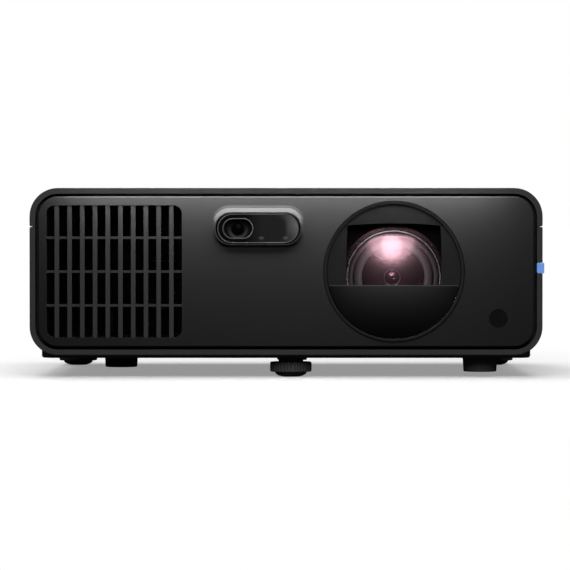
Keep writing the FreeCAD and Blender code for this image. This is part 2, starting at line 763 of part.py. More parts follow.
def front_grille():
    """Slatted insert behind the front panel, with the short duct to the exhaust fan."""
    frame_y = FRONT + PANEL_T
    back = frame_y + GRILLE_FRAME_T
    bar_depth = (FRONT + BAR_SET_BACK, FRONT + RIB_SET_BACK, frame_y, back)
    insert = bar_grille("Y", GRILLE_X, GRILLE_Z, bar_depth, BAR_COUNT, RIB_COUNT, GRILLE_R)
    duct_y = (back - GRILLE_FRAME_T / 2, fan_front())
    duct = funnel(DUCT_T, 0, duct_y).cut(funnel(0, -DUCT_T, duct_y))
    return joined([insert, duct])


def funnel(front_grow, back_grow, y):
    """Solid that narrows from the grille's opening to the fan's frame, each grown by a wall."""
    front_x = (GRILLE_X[0] - front_grow, GRILLE_X[1] + front_grow)
    front_z = (GRILLE_Z[0] - front_grow, GRILLE_Z[1] + front_grow)
    back_x = middle(fan_x(), FAN_SIZE + 2 * back_grow)
    back_z = middle(fan_z(), FAN_SIZE + 2 * back_grow)
    sections = []
    for place, x, z in ((y[0], front_x, front_z), (y[1], back_x, back_z)):
        prism = rounded("Y", x, z, GRILLE_R, (place, place + 1))
        sections.append(Part.Wire(Part.__sortEdges__(edges_at(prism, 1, place))))
    return Part.makeLoft(sections, True, True)


def side_grille(side):
    """Slatted insert inside a side wall."""
    y = EXHAUST_VENT_Y if side < 0 else INTAKE_VENT_Y
    insets = (BAR_SET_BACK, RIB_SET_BACK, WALL, WALL + VENT_T)
    depths = [side * (SIDE - inset) for inset in insets]
    return bar_grille("X", y, VENT_Z, depths, VENT_BAR_COUNT, RIB_COUNT - 1, VENT_R)


def vent_cuts():
    """Openings of both side vents in the bottom cover."""
    left = rounded("X", EXHAUST_VENT_Y, VENT_Z, VENT_R, (-SIDE - 1, -SIDE + WALL + 1))
    right = rounded("X", INTAKE_VENT_Y, VENT_Z, VENT_R, (SIDE - WALL - 1, SIDE + 1))
    return [left, right]


def tab_notch():
    """Notch in the bottom cover's right wall for the side tab."""
    z = middle(SHELL_Z + TAB_RISE, TAB_H + 2 * FIT)
    return block((SIDE - RIM - FIT, SIDE + 1), (RIM_Y - 1, RIM_Y + TAB_LENGTH + FIT), z)


def side_tab():
    """Coloured tab that wraps the right edge of the frame."""
    z = middle(SHELL_Z + TAB_RISE, TAB_H)
    tab = rounded("Y", (SIDE - RIM, SIDE + TAB_PROUD), z, EDGE_R, (RIM_Y, RIM_Y + TAB_LENGTH))
    return softened(tab, EDGE_R / 2, 1, RIM_Y)


def lens_trim_ring():
    """Turned ring that fills the panel's round opening and carries the lens covers."""
    inner = RING_R - RING_W
    flange_r = RING_R + RING_FLANGE_W
    seat = SURROUND_INSET + SURROUND_T
    ring = turned(
        [
            (inner, -RING_PROUD),
            (RING_R, -RING_PROUD),
            (RING_R, PANEL_T),
            (flange_r, PANEL_T),
            (flange_r, PANEL_T + RING_FLANGE_T),
            (RING_R, PANEL_T + RING_FLANGE_T),
            (RING_R, RING_TUBE),
            (inner, RING_TUBE),
        ],
        ring_point(0), V(0, 1, 0))
    ledge_ends = (ring_point(seat), ring_point(seat + RING_LEDGE_T))
    ledge = tube(inner + RING_W / 2, inner - RING_LEDGE_W, *ledge_ends)
    depth = (FRONT, FRONT + RING_TUBE)
    upper = block((-SIDE, SIDE), depth, (LID_Z + RING_LEDGE_W, TOP_Z))
    beam = block(middle(RING_X, 2 * (OPENING_HALF_W + FIT)), depth, (LID_Z, RING_Z + OPENING_RISE))
    room = body_prism(RIM + PANEL_GAP + FLANGE_T + FIT, (FRONT - RING_PROUD, FRONT + RING_TUBE))
    return joined([ring, ledge.common(upper).cut(beam)]).common(room)


def cover_radius():
    """Radius of the lens covers inside the trim ring."""
    return RING_R - RING_W - GROOVE


def lens_surround():
    """Flat upper cover in the trim ring, with the arched opening for the beam."""
    y = (FRONT + SURROUND_INSET, FRONT + SURROUND_INSET + SURROUND_T)
    disc = rod(cover_radius(), ring_point(SURROUND_INSET), ring_point(SURROUND_INSET + SURROUND_T))
    upper = block((-SIDE, SIDE), y, (LID_Z + FIT, TOP_Z))
    top = RING_Z + OPENING_RISE
    shoulder = top - OPENING_ARCH
    waist = (LID_Z + shoulder) / 2
    bottom = LID_Z - 1
    start = y[0] - 1
    points = {
        "low_left": V(RING_X - OPENING_HALF_W, start, bottom),
        "mid_left": V(RING_X - OPENING_HALF_W + OPENING_BOW, start, waist),
        "high_left": V(RING_X - OPENING_TOP_HALF_W, start, shoulder),
        "crown": V(RING_X, start, top),
        "high_right": V(RING_X + OPENING_TOP_HALF_W, start, shoulder),
        "mid_right": V(RING_X + OPENING_HALF_W - OPENING_BOW, start, waist),
        "low_right": V(RING_X + OPENING_HALF_W, start, bottom),
    }
    outline = [
        Part.Arc(points["low_left"], points["mid_left"], points["high_left"]).toShape(),
        Part.Arc(points["high_left"], points["crown"], points["high_right"]).toShape(),
        Part.Arc(points["high_right"], points["mid_right"], points["low_right"]).toShape(),
        Part.makeLine(points["low_right"], points["low_left"]),
    ]
    opening = Part.Face(Part.Wire(outline)).extrude(V(0, SURROUND_T + 2, 0))
    corners = [e for e in opening.Edges if abs(e.BoundBox.ZMin - shoulder) < 0.01
               and abs(e.BoundBox.ZMax - shoulder) < 0.01 and e.BoundBox.YLength > SURROUND_T]
    opening = opening.makeFillet(OPENING_R, corners)
    return disc.common(upper).cut(opening)


def lens_lower_cover():
    """Convex lower cover: a curved sheet that falls back towards the bottom of the ring."""
    radius = cover_radius()
    face = FRONT + SURROUND_INSET
    axis_z = LID_Z
    drop = radius + RING_Z - LID_Z
    left = V(RING_X - SIDE, face + LID_SAG_R, axis_z)
    right = V(RING_X + SIDE, face + LID_SAG_R, axis_z)
    outer = rod(LID_SAG_R, left, right)
    inner = rod(LID_SAG_R - SURROUND_T, left - V(1, 0, 0), right + V(1, 0, 0))
    column = rod(radius, ring_point(0), ring_point(RING_TUBE))
    lower = block((-SIDE, SIDE), (FRONT, FRONT + RING_TUBE), (LID_Z - drop, LID_Z))
    return outer.cut(inner).common(column).common(lower)


def sensor_window():
    """Dark window plate over the camera and the distance sensor."""
    front = FRONT - SENSOR_PROUD + SENSOR_GLASS_INSET
    y = (front, front + SENSOR_GLASS_T)
    plate = stadium(SENSOR_X, SENSOR_Z, SENSOR_W - 2 * FIT, SENSOR_H - 2 * FIT, y)
    plate = softened(plate, EDGE_R / 2, 1, front)
    camera = stadium(SENSOR_X + CAMERA_X, SENSOR_Z, CAMERA_W, CAMERA_H, (y[0] - 1, y[1] + 1))
    behind = (y[1], FRONT + PANEL_T)
    room = 2 * (FIT + SENSOR_LAP_T)
    lap = stadium(SENSOR_X, SENSOR_Z, SENSOR_W - 2 * FIT, SENSOR_H - 2 * FIT, behind)
    hollow = stadium(SENSOR_X, SENSOR_Z, SENSOR_W - room, SENSOR_H - room, behind)
    return joined([plate.cut(camera), lap.cut(hollow)])


def sensor_back():
    """Rear face of the sensor window, where both sensors sit."""
    return FRONT - SENSOR_PROUD + SENSOR_GLASS_INSET + SENSOR_GLASS_T


def sensor_camera():
    """Camera module behind the left end of the window."""
    front = sensor_back()
    x = SENSOR_X + CAMERA_X
    width = CAMERA_W - 2 * FIT
    height = CAMERA_H - 2 * FIT
    frame = stadium(x, SENSOR_Z, width, height, (front - SENSOR_GLASS_T / 2, front + SENSOR_DEPTH))
    well_y = (front - SENSOR_GLASS_T, front + CAMERA_WELL)
    well = stadium(x, SENSOR_Z, width - 2 * CAMERA_LIP, height - 2 * CAMERA_LIP, well_y)
    depth = CAMERA_WELL + 1
    step = EYE_R - EYE_NOSE_R
    profile = [(0, 0), (EYE_NOSE_R, step / 2), (EYE_R, 1.5 * step), (EYE_R, depth), (0, depth)]
    return joined([frame.cut(well), turned(profile, V(x, front, SENSOR_Z), V(0, 1, 0))])


def distance_sensor():
    """Time-of-flight module behind the dark part of the window."""
    front = sensor_back()
    x = SENSOR_X + RANGER_X
    y = (front + FIT, front + SENSOR_DEPTH)
    module = rounded("Y", middle(x, RANGER_W), middle(SENSOR_Z, RANGER_H), RANGER_CORNER, y)
    eyes = []
    for eye_x in (x - RANGER_EYE_SIDE, x + RANGER_EYE_SIDE):
        eyes.append(rod(RANGER_EYE_R, V(eye_x, front, SENSOR_Z), V(eye_x, front + 1, SENSOR_Z)))
    return module.cut(eyes)


def ir_windows():
    """Round infrared windows in the front and rear panels, both flanged behind."""
    front_z = SHELL_Z + IR_RISE
    rear_z = SHELL_Z + REAR_IR_RISE
    lip = IR_R + IR_LIP
    profile = [(0, 0), (IR_R, 0), (IR_R, PANEL_T), (lip, PANEL_T), (lip, IR_T), (0, IR_T)]
    front = turned(profile, V(IR_X, FRONT, front_z), V(0, 1, 0))
    rear = turned(profile, V(REAR_IR_X, REAR_PANEL_Y + REAR_T, rear_z), V(0, -1, 0))
    return Part.makeCompound([front, rear])


# --- Projection lens ------------------------------------------------------------------------------------
def lens_barrel():
    """Fixed barrel with the seats of both rings, its front plate and its rear flange."""
    length = BARREL_LENGTH
    focus_start = FOCUS_RING_AT - LENS_FRONT - AIR
    focus_end = focus_start + FOCUS_RING_W + 2 * AIR
    zoom_start = ZOOM_RING_AT - LENS_FRONT - AIR
    zoom_end = zoom_start + ZOOM_RING_W + 2 * AIR
    body = turned(
        [
            (BORE_R, 0),
            (BARREL_R, 0),
            (BARREL_R, focus_start),
            (SEAT_R, focus_start),
            (SEAT_R, focus_end),
            (BARREL_R, focus_end),
            (BARREL_R, zoom_start),
            (SEAT_R, zoom_start),
            (SEAT_R, zoom_end),
            (BARREL_R, zoom_end),
            (BARREL_WAIST_R, zoom_end + BARREL_R - BARREL_WAIST_R),
            (BARREL_WAIST_R, length - BARREL_FLANGE_T),
            (BARREL_FLANGE_R, length - BARREL_FLANGE_T),
            (BARREL_FLANGE_R, length),
            (BORE_R, length),
        ],
        lens_point(LENS_FRONT), V(0, 1, 0))
    plate_r = RING_R - RING_W - AIR
    plate = rod(plate_r, ring_point(RING_TUBE - PLATE_REACH), ring_point(LENS_FRONT + PLATE_REACH))
    plate = plate.cut(rod(BORE_R + RETAINER_W, lens_point(0), lens_point(LENS_FRONT)))
    plate = plate.cut(rod(BORE_R, lens_point(LENS_FRONT - 1), lens_point(BARREL_LENGTH)))
    return joined([body, plate])


def lens_retainer():
    """Threaded ring that holds the front glass, with a bevel towards the glass."""
    outer = BORE_R + RETAINER_W - FIT
    profile = [
        (RETAINER_R, RETAINER_BEVEL),
        (RETAINER_R + RETAINER_BEVEL, 0),
        (outer, 0),
        (outer, RETAINER_H),
        (RETAINER_R, RETAINER_H),
    ]
    return turned(profile, lens_point(LENS_FRONT - RETAINER_H), V(0, 1, 0))


def dome(radius, sag, edge, hollow, start):
    """Lens element: convex front of the given sag, a cylindrical edge and a hollow back."""
    front = lens_point(start)
    rim = lens_point(start + sag)
    back = start + sag + edge
    rim_left = V(rim.x + radius, rim.y, rim.z)
    bend = radius * math.sqrt(0.5)
    ball_r = (radius ** 2 + sag ** 2) / (2 * sag)
    mid_depth = ball_r - math.sqrt(ball_r ** 2 - bend ** 2)
    front_arc = Part.Arc(front, V(front.x + bend, front.y + mid_depth, front.z), rim_left).toShape()
    back_rim = V(rim_left.x, FRONT + back, rim.z)
    inner_r = radius - GLASS_RIM
    inner_rim = V(front.x + inner_r, FRONT + back, rim.z)
    inner_top = lens_point(back - hollow)
    cup_r = (inner_r ** 2 + hollow ** 2) / (2 * hollow)
    half = inner_r * math.sqrt(0.5)
    half_depth = cup_r - math.sqrt(cup_r ** 2 - half ** 2)
    back_arc = Part.Arc(inner_rim, V(front.x + half, inner_top.y + half_depth, rim.z), inner_top).toShape()
    wire = Part.Wire([
        front_arc,
        Part.makeLine(rim_left, back_rim),
        Part.makeLine(back_rim, inner_rim),
        back_arc,
        Part.makeLine(inner_top, front),
    ])
    return Part.Face(wire).revolve(front, V(0, 1, 0), 360)


def front_lens():
    """Large domed front glass."""
    start = LENS_FRONT - GLASS_EDGE - GLASS_SAG
    return dome(FRONT_GLASS_R, GLASS_SAG, GLASS_EDGE, GLASS_HOLLOW, start)


def lens_cell(start, glass_r, stepped):
    """Sliding cell with its glass seat. The focus cell's face is a stepped light baffle."""
    outer = BORE_R - RUN
    seat = 2 * CELL_STEP
    lip_r = glass_r - CELL_LIP
    lip_r = glass_r + CELL_LIP
    profile = [(outer, 0), (outer, CELL_LENGTH), (lip_r, CELL_LENGTH), (lip_r, seat)]
    if stepped:
        groove = (CELL_STEP / 2, 1.5 * CELL_STEP)
        profile += [
            (lip_r, seat),
            (lip_r, groove[1]),
            (BAFFLE_R, groove[0]),
            (BAFFLE_R, groove[1]),
            (BAFFLE_R + BAFFLE_W, groove[1]),
            (BAFFLE_R + BAFFLE_W, groove[0]),
        ]
    else:
        profile += [(lip_r, seat), (lip_r, 0)]
    return turned(profile, lens_point(start), V(0, 1, 0))


def cell_glass(start, glass_r):
    """Element seated in a sliding cell."""
    radius = glass_r + CELL_LIP - FIT
    shoulder = (glass_r - ELEMENT_SAG, ELEMENT_EDGE + ELEMENT_SAG)
    crown = (0, ELEMENT_EDGE + ELEMENT_SAG + ELEMENT_CROWN)
    profile = [(0, 0), (radius, 0), (radius, ELEMENT_EDGE), shoulder, crown]
    return turned(profile, lens_point(start + 2 * CELL_STEP), V(0, 1, 0))


def turning_ring(start, width):
    """Ribbed ring that turns on the barrel."""
    body = tube(RING_TURN_R, SEAT_R + RUN, lens_point(start), lens_point(start + width))
    ridge_y = (FRONT + start + RIDGE_INSET, FRONT + start + width - RIDGE_INSET)
    crest = AXIS_Z + RING_TURN_R + RIDGE_H
    ridge = block(middle(RING_X, RIDGE_W), ridge_y, (crest - 2 * RIDGE_H, crest))
    return [body] + spun(ridge, RIDGE_COUNT, lens_point(start), V(0, 1, 0))


def focus_ring():
    """Focus ring, turned by finger through the window in the top cover."""
    return joined(turning_ring(FOCUS_RING_AT, FOCUS_RING_W))


def zoom_ring():
    """Zoom ring with its lever."""
    pieces = turning_ring(ZOOM_RING_AT, ZOOM_RING_W)
    y = (FRONT + ZOOM_RING_AT + LEVER_INSET, FRONT + ZOOM_RING_AT + ZOOM_RING_W - LEVER_INSET)
    lever = block(middle(RING_X, LEVER_W), y, (AXIS_Z + RING_TURN_R - RIDGE_H, AXIS_Z + LEVER_R))
    lever = softened(lever, EDGE_R, 2, AXIS_Z + LEVER_R)
    return joined(pieces + [lever])


# --- Light engine ---------------------------------------------------------------------------------------
def engine_x():
    """Span of the light engine across the body."""
    return middle(RING_X + ENGINE_SHIFT, ENGINE_W)


def engine_y():
    """Span of the light engine along the body."""
    return (BARREL_BACK_Y, BARREL_BACK_Y + ENGINE_LENGTH)


def engine_floor():
    """Underside of the light engine."""
    return AXIS_Z - ENGINE_H / 2


def engine_foot_places():
    """Centres of the four posts under the engine."""
    inset = ENGINE_FOOT_R + ENGINE_FOOT_INSET
    x = engine_x()
    y = engine_y()
    return [(px, py) for px in (x[0] + inset, x[1] - inset) for py in (y[0] + inset, y[1] - inset)]


def light_engine():
    """Die-cast housing of prism and mirrors, open for the lens and for the laser beam."""
    x = engine_x()
    y = engine_y()
    z = (engine_floor(), engine_floor() + ENGINE_H)
    case = rounded("Z", x, y, ENGINE_CASE_R, z)
    inner_x = (x[0] + ENGINE_WALL, x[1] - ENGINE_WALL)
    inner_y = (y[0] + ENGINE_WALL, y[1] - ENGINE_WALL)
    inner_z = (z[0] + ENGINE_WALL, z[1] - ENGINE_WALL)
    hollow = rounded("Z", inner_x, inner_y, ENGINE_CASE_R - ENGINE_WALL, inner_z)
    lens_hole = rod(BORE_R, V(RING_X, y[0] - 1, AXIS_Z), V(RING_X, inner_y[0] + 1, AXIS_Z))
    laser_hole = rod(LASER_BORE_R, V(x[0] - 1, laser_y(), AXIS_Z), V(inner_x[0] + 1, laser_y(), AXIS_Z))
    return case.cut([hollow, lens_hole, laser_hole])


def finned(plate, span, fin):
    """Heat sink: a base plate and the fins that fit in a span, each drawn by fin from its two sides."""
    count = int((span[1] - span[0] - SINK_FIN_T) / SINK_FIN_PITCH) + 1
    places = row(count, SINK_FIN_PITCH, sum(span) / 2)
    return joined([plate] + [fin(middle(place, SINK_FIN_T)) for place in places])


def imager_heatsink():
    """Finned block on the engine's back, behind the imaging chip."""
    x = middle(RING_X, IMAGER_SINK_W)
    start = engine_y()[1]
    z = middle(AXIS_Z, IMAGER_SINK_H)
    plate = block(x, (start, start + SINK_BASE), z)
    fin_y = (start + SINK_BASE - SINK_ROOT, start + IMAGER_SINK_D)
    return finned(plate, x, lambda fin_x: block(fin_x, fin_y, z))


def laser_y():
    """Middle of the laser module along the body."""
    return sum(engine_y()) / 2


def laser_x():
    """Span of the laser module across the body."""
    end = engine_x()[0]
    return (end - LASER_W, end)


def laser_sink_y():
    """Span of the laser's heat sink along the body."""
    return middle(laser_y(), LASER_SINK_L)


def laser_module():
    """Laser bank bolted to the engine's side."""
    x = laser_x()
    case = rounded("X", middle(laser_y(), LASER_LENGTH), middle(AXIS_Z, LASER_H), LASER_CASE_R, x)
    bore = rod(LASER_BORE_R, V(x[0] + LASER_BACK_WALL, laser_y(), AXIS_Z), V(x[1] + 1, laser_y(), AXIS_Z))
    return case.cut(bore)


def laser_heatsink():
    """Tall finned block on the laser bank, in the exhaust air."""
    end = laser_x()[0]
    y = laser_sink_y()
    z = middle(AXIS_Z, LASER_SINK_H)
    plate = block((end - SINK_BASE, end), y, z)
    fin_x = (end - LASER_SINK_W, end - SINK_BASE + SINK_ROOT)
    return finned(plate, z, lambda fin_z: block(fin_x, y, fin_z))


def wheel_centre():
    """Centre of the phosphor wheel inside the engine."""
    return V(engine_x()[0] + ENGINE_WALL + WHEEL_SIDE_ROOM + WHEEL_DISC_R, laser_y(), AXIS_Z)


def phosphor_wheel():
    """Coated disc with its hub, turning on the motor's shaft."""
    c = wheel_centre()
    back = c.y + WHEEL_DISC_T
    disc = rod(WHEEL_DISC_R, c, V(c.x, back, c.z))
    front = c.y - WHEEL_HUB_FRONT
    hub = rod(WHEEL_HUB_R, V(c.x, front, c.z), V(c.x, back + WHEEL_HUB_BACK, c.z))
    bore = rod(WHEEL_SHAFT_R + RUN, V(c.x, front - 1, c.z), V(c.x, back + WHEEL_HUB_BACK + 1, c.z))
    return disc.fuse(hub).cut(bore).removeSplitter()


def wheel_motor():
    """Motor of the phosphor wheel on the engine's rear wall."""
    c = wheel_centre()
    back = c.y + WHEEL_DISC_T
    end = engine_y()[1] - ENGINE_WALL
    motor = rod(WHEEL_MOTOR_R, V(c.x, back + WHEEL_HUB_BACK + AIR, c.z), V(c.x, end, c.z))
    shaft = rod(WHEEL_SHAFT_R, V(c.x, c.y - WHEEL_HUB_FRONT, c.z), V(c.x, end, c.z))
    return motor.fuse(shaft).removeSplitter()


# --- Fans -----------------------------------------------------------------------------------------------
def fan_x():
    """Middle of the exhaust fan across the body."""
    return sum(GRILLE_X) / 2


def fan_z():
    """Height of both fans' shafts."""
    return sum(GRILLE_Z) / 2


def fan_front():
    """Front face of the exhaust fan."""
    return FRONT + PANEL_T + GRILLE_FRAME_T + DUCT_LENGTH


def fan_frame():
    """Square frame with a round duct and a strutted motor mount, facing +Z at the origin."""
    half = FAN_SIZE / 2
    frame = rounded("Z", (-half, half), (-half, half), FAN_CORNER_R, (0, FAN_T))
    cuts = [rod(FAN_DUCT_R, V(0, 0, -1), V(0, 0, FAN_T + 1))]
    for sx in (-1, 1):
        for sy in (-1, 1):
            corner = (sx * (half - FAN_HOLE_INSET), sy * (half - FAN_HOLE_INSET))
            cuts.append(rod(FAN_HOLE_R, V(*corner, -1), V(*corner, FAN_T + 1)))
    frame = frame.cut(cuts)
    strut = block((0, FAN_DUCT_R + 1), middle(0, FAN_STRUT_W), (0, FAN_STRUT_T))
    struts = spun(strut, FAN_STRUTS, V(0, 0, 0), V(0, 0, 1))
    motor = rod(FAN_MOTOR_R, V(0, 0, 0), V(0, 0, FAN_MOTOR_H))
    shaft = rod(FAN_SHAFT_R, V(0, 0, 0), V(0, 0, FAN_T - FAN_HUB_DROP - FAN_HUB_LID))
    return joined([frame, motor, shaft] + struts)


def fan_rotor():
    """Hub with twisted blades, turning on the frame's shaft, facing +Z at the origin."""
    low = FAN_MOTOR_H + 2 * AIR
    high = FAN_T - FAN_HUB_DROP
    hub = rod(FAN_HUB_R, V(0, 0, low), V(0, 0, high))
    hub = softened(hub, 2 * EDGE_R, 2, high)
    hub = hub.cut(rod(FAN_SHAFT_R + RUN, V(0, 0, low - 1), V(0, 0, high - FAN_HUB_LID + AIR)))
    foot = (low + FAN_BLADE_INSET, high - FAN_BLADE_INSET)
    sections = []
    root = (FAN_HUB_R - FAN_BLADE_T, FAN_PITCH + FAN_TWIST)
    tip = (FAN_DUCT_R - FAN_TIP_GAP, FAN_PITCH)
    for radius, pitch in (root, tip):
        run = (foot[1] - foot[0]) / math.tan(math.radians(pitch)) / 2
        y = math.sqrt(radius ** 2 - (run + FAN_BLADE_T) ** 2)
        points = [
            V(-run, y, foot[0]),
            V(FAN_BLADE_T - run, y, foot[0]),
            V(FAN_BLADE_T + run, y, foot[1]),
            V(run, y, foot[1]),
        ]
        sections.append(Part.makePolygon(points + points[:1]))
    blade = Part.makeLoft(sections, True, True)
    return joined([hub] + spun(blade, FAN_BLADES, V(0, 0, 0), V(0, 0, 1)))


def exhaust_fan(shape):
    """Places a fan part behind the front grille, blowing forward."""
    shape.Placement = FreeCAD.Placement(
        V(fan_x(), fan_front() + FAN_T, fan_z()), FreeCAD.Rotation(V(0, 0, 1), V(0, -1, 0)))
    return shape


def intake_fan_x():
    """Outer face of the intake fan."""
    return SIDE - WALL - VENT_T


def intake_fan(shape):
    """Places a fan part behind the right vent, blowing inwards."""
    y = sum(INTAKE_VENT_Y) / 2
    shape.Placement = FreeCAD.Placement(
        V(intake_fan_x() - FAN_T, y, fan_z()), FreeCAD.Rotation(V(0, 0, 1), V(1, 0, 0)))
    return shape


def fan_cradles():
    """Ribs on the floor under both fans."""
    z = (FLOOR_Z - WALL / 2, fan_z() - FAN_SIZE / 2)
    length = FAN_SIZE - 2 * CRADLE_TRIM
    front_x = middle(fan_x(), length)
    side_y = middle(sum(INTAKE_VENT_Y) / 2, length)
    ribs = []
    for shift in (CRADLE_INSET, FAN_T - CRADLE_INSET - CRADLE_T):
        y = fan_front() + shift
        x = intake_fan_x() - FAN_T + shift
        ribs.append((front_x, (y, y + CRADLE_T), z))
        ribs.append(((x, x + CRADLE_T), side_y, z))
    return ribs


# --- Power supply, board, speaker -----------------------------------------------------------------------
def psu_x():
    """Span of the power supply across the body."""
    start = FOOT_PLACES["rear_left"][0] + FOOT_BOSS_R + PSU_SIDE_ROOM
    return (start, start + PSU_W)


def psu_y():
    """Span of the power supply along the body, between the laser's heat sink and the main board."""
    return (laser_sink_y()[1] + PSU_FRONT_ROOM, BOARD_Y - BOARD_T - PSU_REAR_ROOM)


def psu_standoff_places():
    """Centres of the standoffs under the power supply."""
    x = psu_x()
    y = psu_y()
    inset = PSU_SCREW_INSET
    return [(px, py) for px in (x[0] + inset, x[1] - inset) for py in (y[0] + inset, y[1] - inset)]


def power_supply():
    """Board with transformer, choke, heat sink plate and capacitors."""
    x = psu_x()
    y = psu_y()
    z = FLOOR_Z + STANDOFF_H
    deck = z + BOARD_T
    board = block(x, y, (z, deck))
    right = x[1] - TRANSFORMER_INSET
    back = y[1] - TRANSFORMER_REAR
    transformer_z = (deck, deck + TRANSFORMER_H)
    transformer = block((right - TRANSFORMER_W, right), (back - TRANSFORMER_L, back), transformer_z)
    left = x[0] + COIL_INSET
    back = y[1] - COIL_REAR
    coil = block((left, left + COIL_W), (back - COIL_L, back), (deck, deck + COIL_H))
    plate_x = (x[0] + PLATE_INSET, x[1] - PLATE_INSET)
    plate_y = y[0] + PLATE_FRONT
    plate = block(plate_x, (plate_y, plate_y + PLATE_T), (deck, deck + PLATE_H))
    centre = V(x[0] + CAPACITOR_INSET, y[0] + CAPACITOR_BACK, deck)
    capacitor = rod(CAPACITOR_R, centre, centre + V(0, 0, CAPACITOR_H))
    return joined([board, transformer, coil, plate, capacitor])


def main_board():
    """Upright board behind the rear panel, carrying every signal socket."""
    x = (min(VIDEO_XS) - VIDEO_W / 2 - BOARD_MARGIN, SERIAL_X + SERIAL_FLANGE_W / 2 + BOARD_MARGIN)
    z = (FLOOR_Z + FIT, CEILING_Z - BOARD_DROP)
    front = BOARD_Y - BOARD_T
    board = block(x, (front, BOARD_Y), z)
    chip_z = middle(FLOOR_Z + CHIP_RISE, CHIP_SIZE)
    chips = []
    for place in row(CHIP_COUNT, CHIP_PITCH, sum(x) / 2):
        chips.append(block(middle(place, CHIP_SIZE), (front - CHIP_T, front), chip_z))
    return joined([board] + chips)


def speaker_place():
    """Low corner of the speaker box."""
    return V(RING_X - SPEAKER_SIDE, FRONT + SPEAKER_BACK, FLOOR_Z + SPEAKER_LIFT)


def speaker_shelf():
    """Rib on the floor that carries the speaker box."""
    p = speaker_place()
    return [((p.x, p.x + SPEAKER_W), (p.y, p.y + SPEAKER_D), (FLOOR_Z - WALL / 2, p.z))]


def speaker():
    """Chambered loudspeaker with its cone."""
    p = speaker_place()
    case_z = (p.z, p.z + SPEAKER_H)
    case = rounded("Z", (p.x, p.x + SPEAKER_W), (p.y, p.y + SPEAKER_D), SPEAKER_CASE_R, case_z)
    centre = V(p.x + SPEAKER_W / 2, p.y, p.z + SPEAKER_H / 2)
    depth = SPEAKER_CONE_DEPTH
    cap_r = SPEAKER_CAP_R
    cap_y = depth / 2
    cone = [(0, -1), (SPEAKER_CONE_R, -1), (SPEAKER_CONE_R, 0)]
    cone += [(cap_r, depth), (cap_r / 2, cap_y), (0, cap_y)]
    return case.cut(turned(cone, centre, V(0, 1, 0)))


# --- Rear panel and sockets -----------------------------------------------------------------------------
def rear_panel():
    """Rear closing panel with the openings of all sockets and a slotted vent."""
    y = (REAR_PANEL_Y, REAR_PANEL_Y + REAR_T)
    panel = body_prism(RIM + REAR_GAP, y)
    through = (y[0] - 1, y[1] + 1)
    cuts = []
    for x, width, height in signal_places():
        hole = (middle(x, width + 2 * FIT), middle(PORT_Z, height + 2 * FIT))
        cuts.append(rounded("Y", *hole, SOCKET_R + FIT, through))
    for x in AUDIO_XS:
        cuts.append(rod(AUDIO_R + FIT, V(x, through[0], PORT_Z), V(x, through[1], PORT_Z)))
    hole = (middle(SERIAL_X, SERIAL_W + 2 * FIT), middle(PORT_Z, SERIAL_H + 2 * FIT))
    cuts.append(rounded("Y", *hole, SERIAL_R + FIT, through))
    cuts.append(block(middle(INLET_X, INLET_W + 2 * FIT), through, middle(PORT_Z, INLET_H + 2 * FIT)))
    rear_ir_z = SHELL_Z + REAR_IR_RISE
    cuts.append(rod(IR_R + FIT, V(REAR_IR_X, through[0], rear_ir_z), V(REAR_IR_X, through[1], rear_ir_z)))
    lock_x = -SIDE + LOCK_INSET
    cuts.append(rounded("Y", middle(lock_x, LOCK_W), middle(PORT_Z, LOCK_H), LOCK_H / 3, through))
    low = SHELL_Z + REAR_SLOT_RISE
    for x in row(REAR_SLOT_COUNT, REAR_SLOT_PITCH, -SIDE + REAR_SLOT_INSET):
        slot_x = middle(x, REAR_SLOT_W)
        cuts.append(rounded("Y", slot_x, (low, low + REAR_SLOT_H), REAR_SLOT_W / 2, through))
    return panel.cut(cuts)


def signal_places():
    """Place, width and height of each shell socket."""
    video = [(x, VIDEO_W, VIDEO_H) for x in VIDEO_XS]
    return video + [(x, DATA_W, DATA_H) for x in DATA_XS]


def shell_socket(x, width, height):
    """Metal shell socket with its contact tongue."""
    y = (BOARD_Y, REAR_PANEL_Y + REAR_T - SOCKET_RECESS)
    body = rounded("Y", middle(x, width), middle(PORT_Z, height), SOCKET_R, y)
    room_x = middle(x, width - 2 * SOCKET_WALL)
    room_z = middle(PORT_Z, height - 2 * SOCKET_WALL)
    cavity = rounded("Y", room_x, room_z, SOCKET_R / 2, (y[0] + SOCKET_FLOOR, y[1] + 1))
    tongue_y = (y[0] + SOCKET_FLOOR - 1, y[1] - CONTACT_RECESS)
    tongue = block(middle(x, width - 2 * CONTACT_MARGIN), tongue_y, middle(PORT_Z, CONTACT_T))
    return body.cut(cavity).fuse(tongue).removeSplitter()


def signal_sockets():
    """Video and data sockets on the main board."""
    return Part.makeCompound([shell_socket(*place) for place in signal_places()])


def audio_jacks():
    """Pair of round jacks."""
    jacks = []
    end = REAR_PANEL_Y + REAR_T
    for x in AUDIO_XS:
        width = 2 * (AUDIO_R + 1)
        body = block(middle(x, width), (BOARD_Y, REAR_PANEL_Y - FIT), middle(PORT_Z, width))
        collar = rod(AUDIO_R, V(x, REAR_PANEL_Y - 1, PORT_Z), V(x, end + AUDIO_COLLAR, PORT_Z))
        bore = rod(AUDIO_BORE_R, V(x, BOARD_Y + SOCKET_FLOOR, PORT_Z), V(x, end + 1, PORT_Z))
        jacks.append(body.fuse(collar).cut(bore).removeSplitter())
    return Part.makeCompound(jacks)


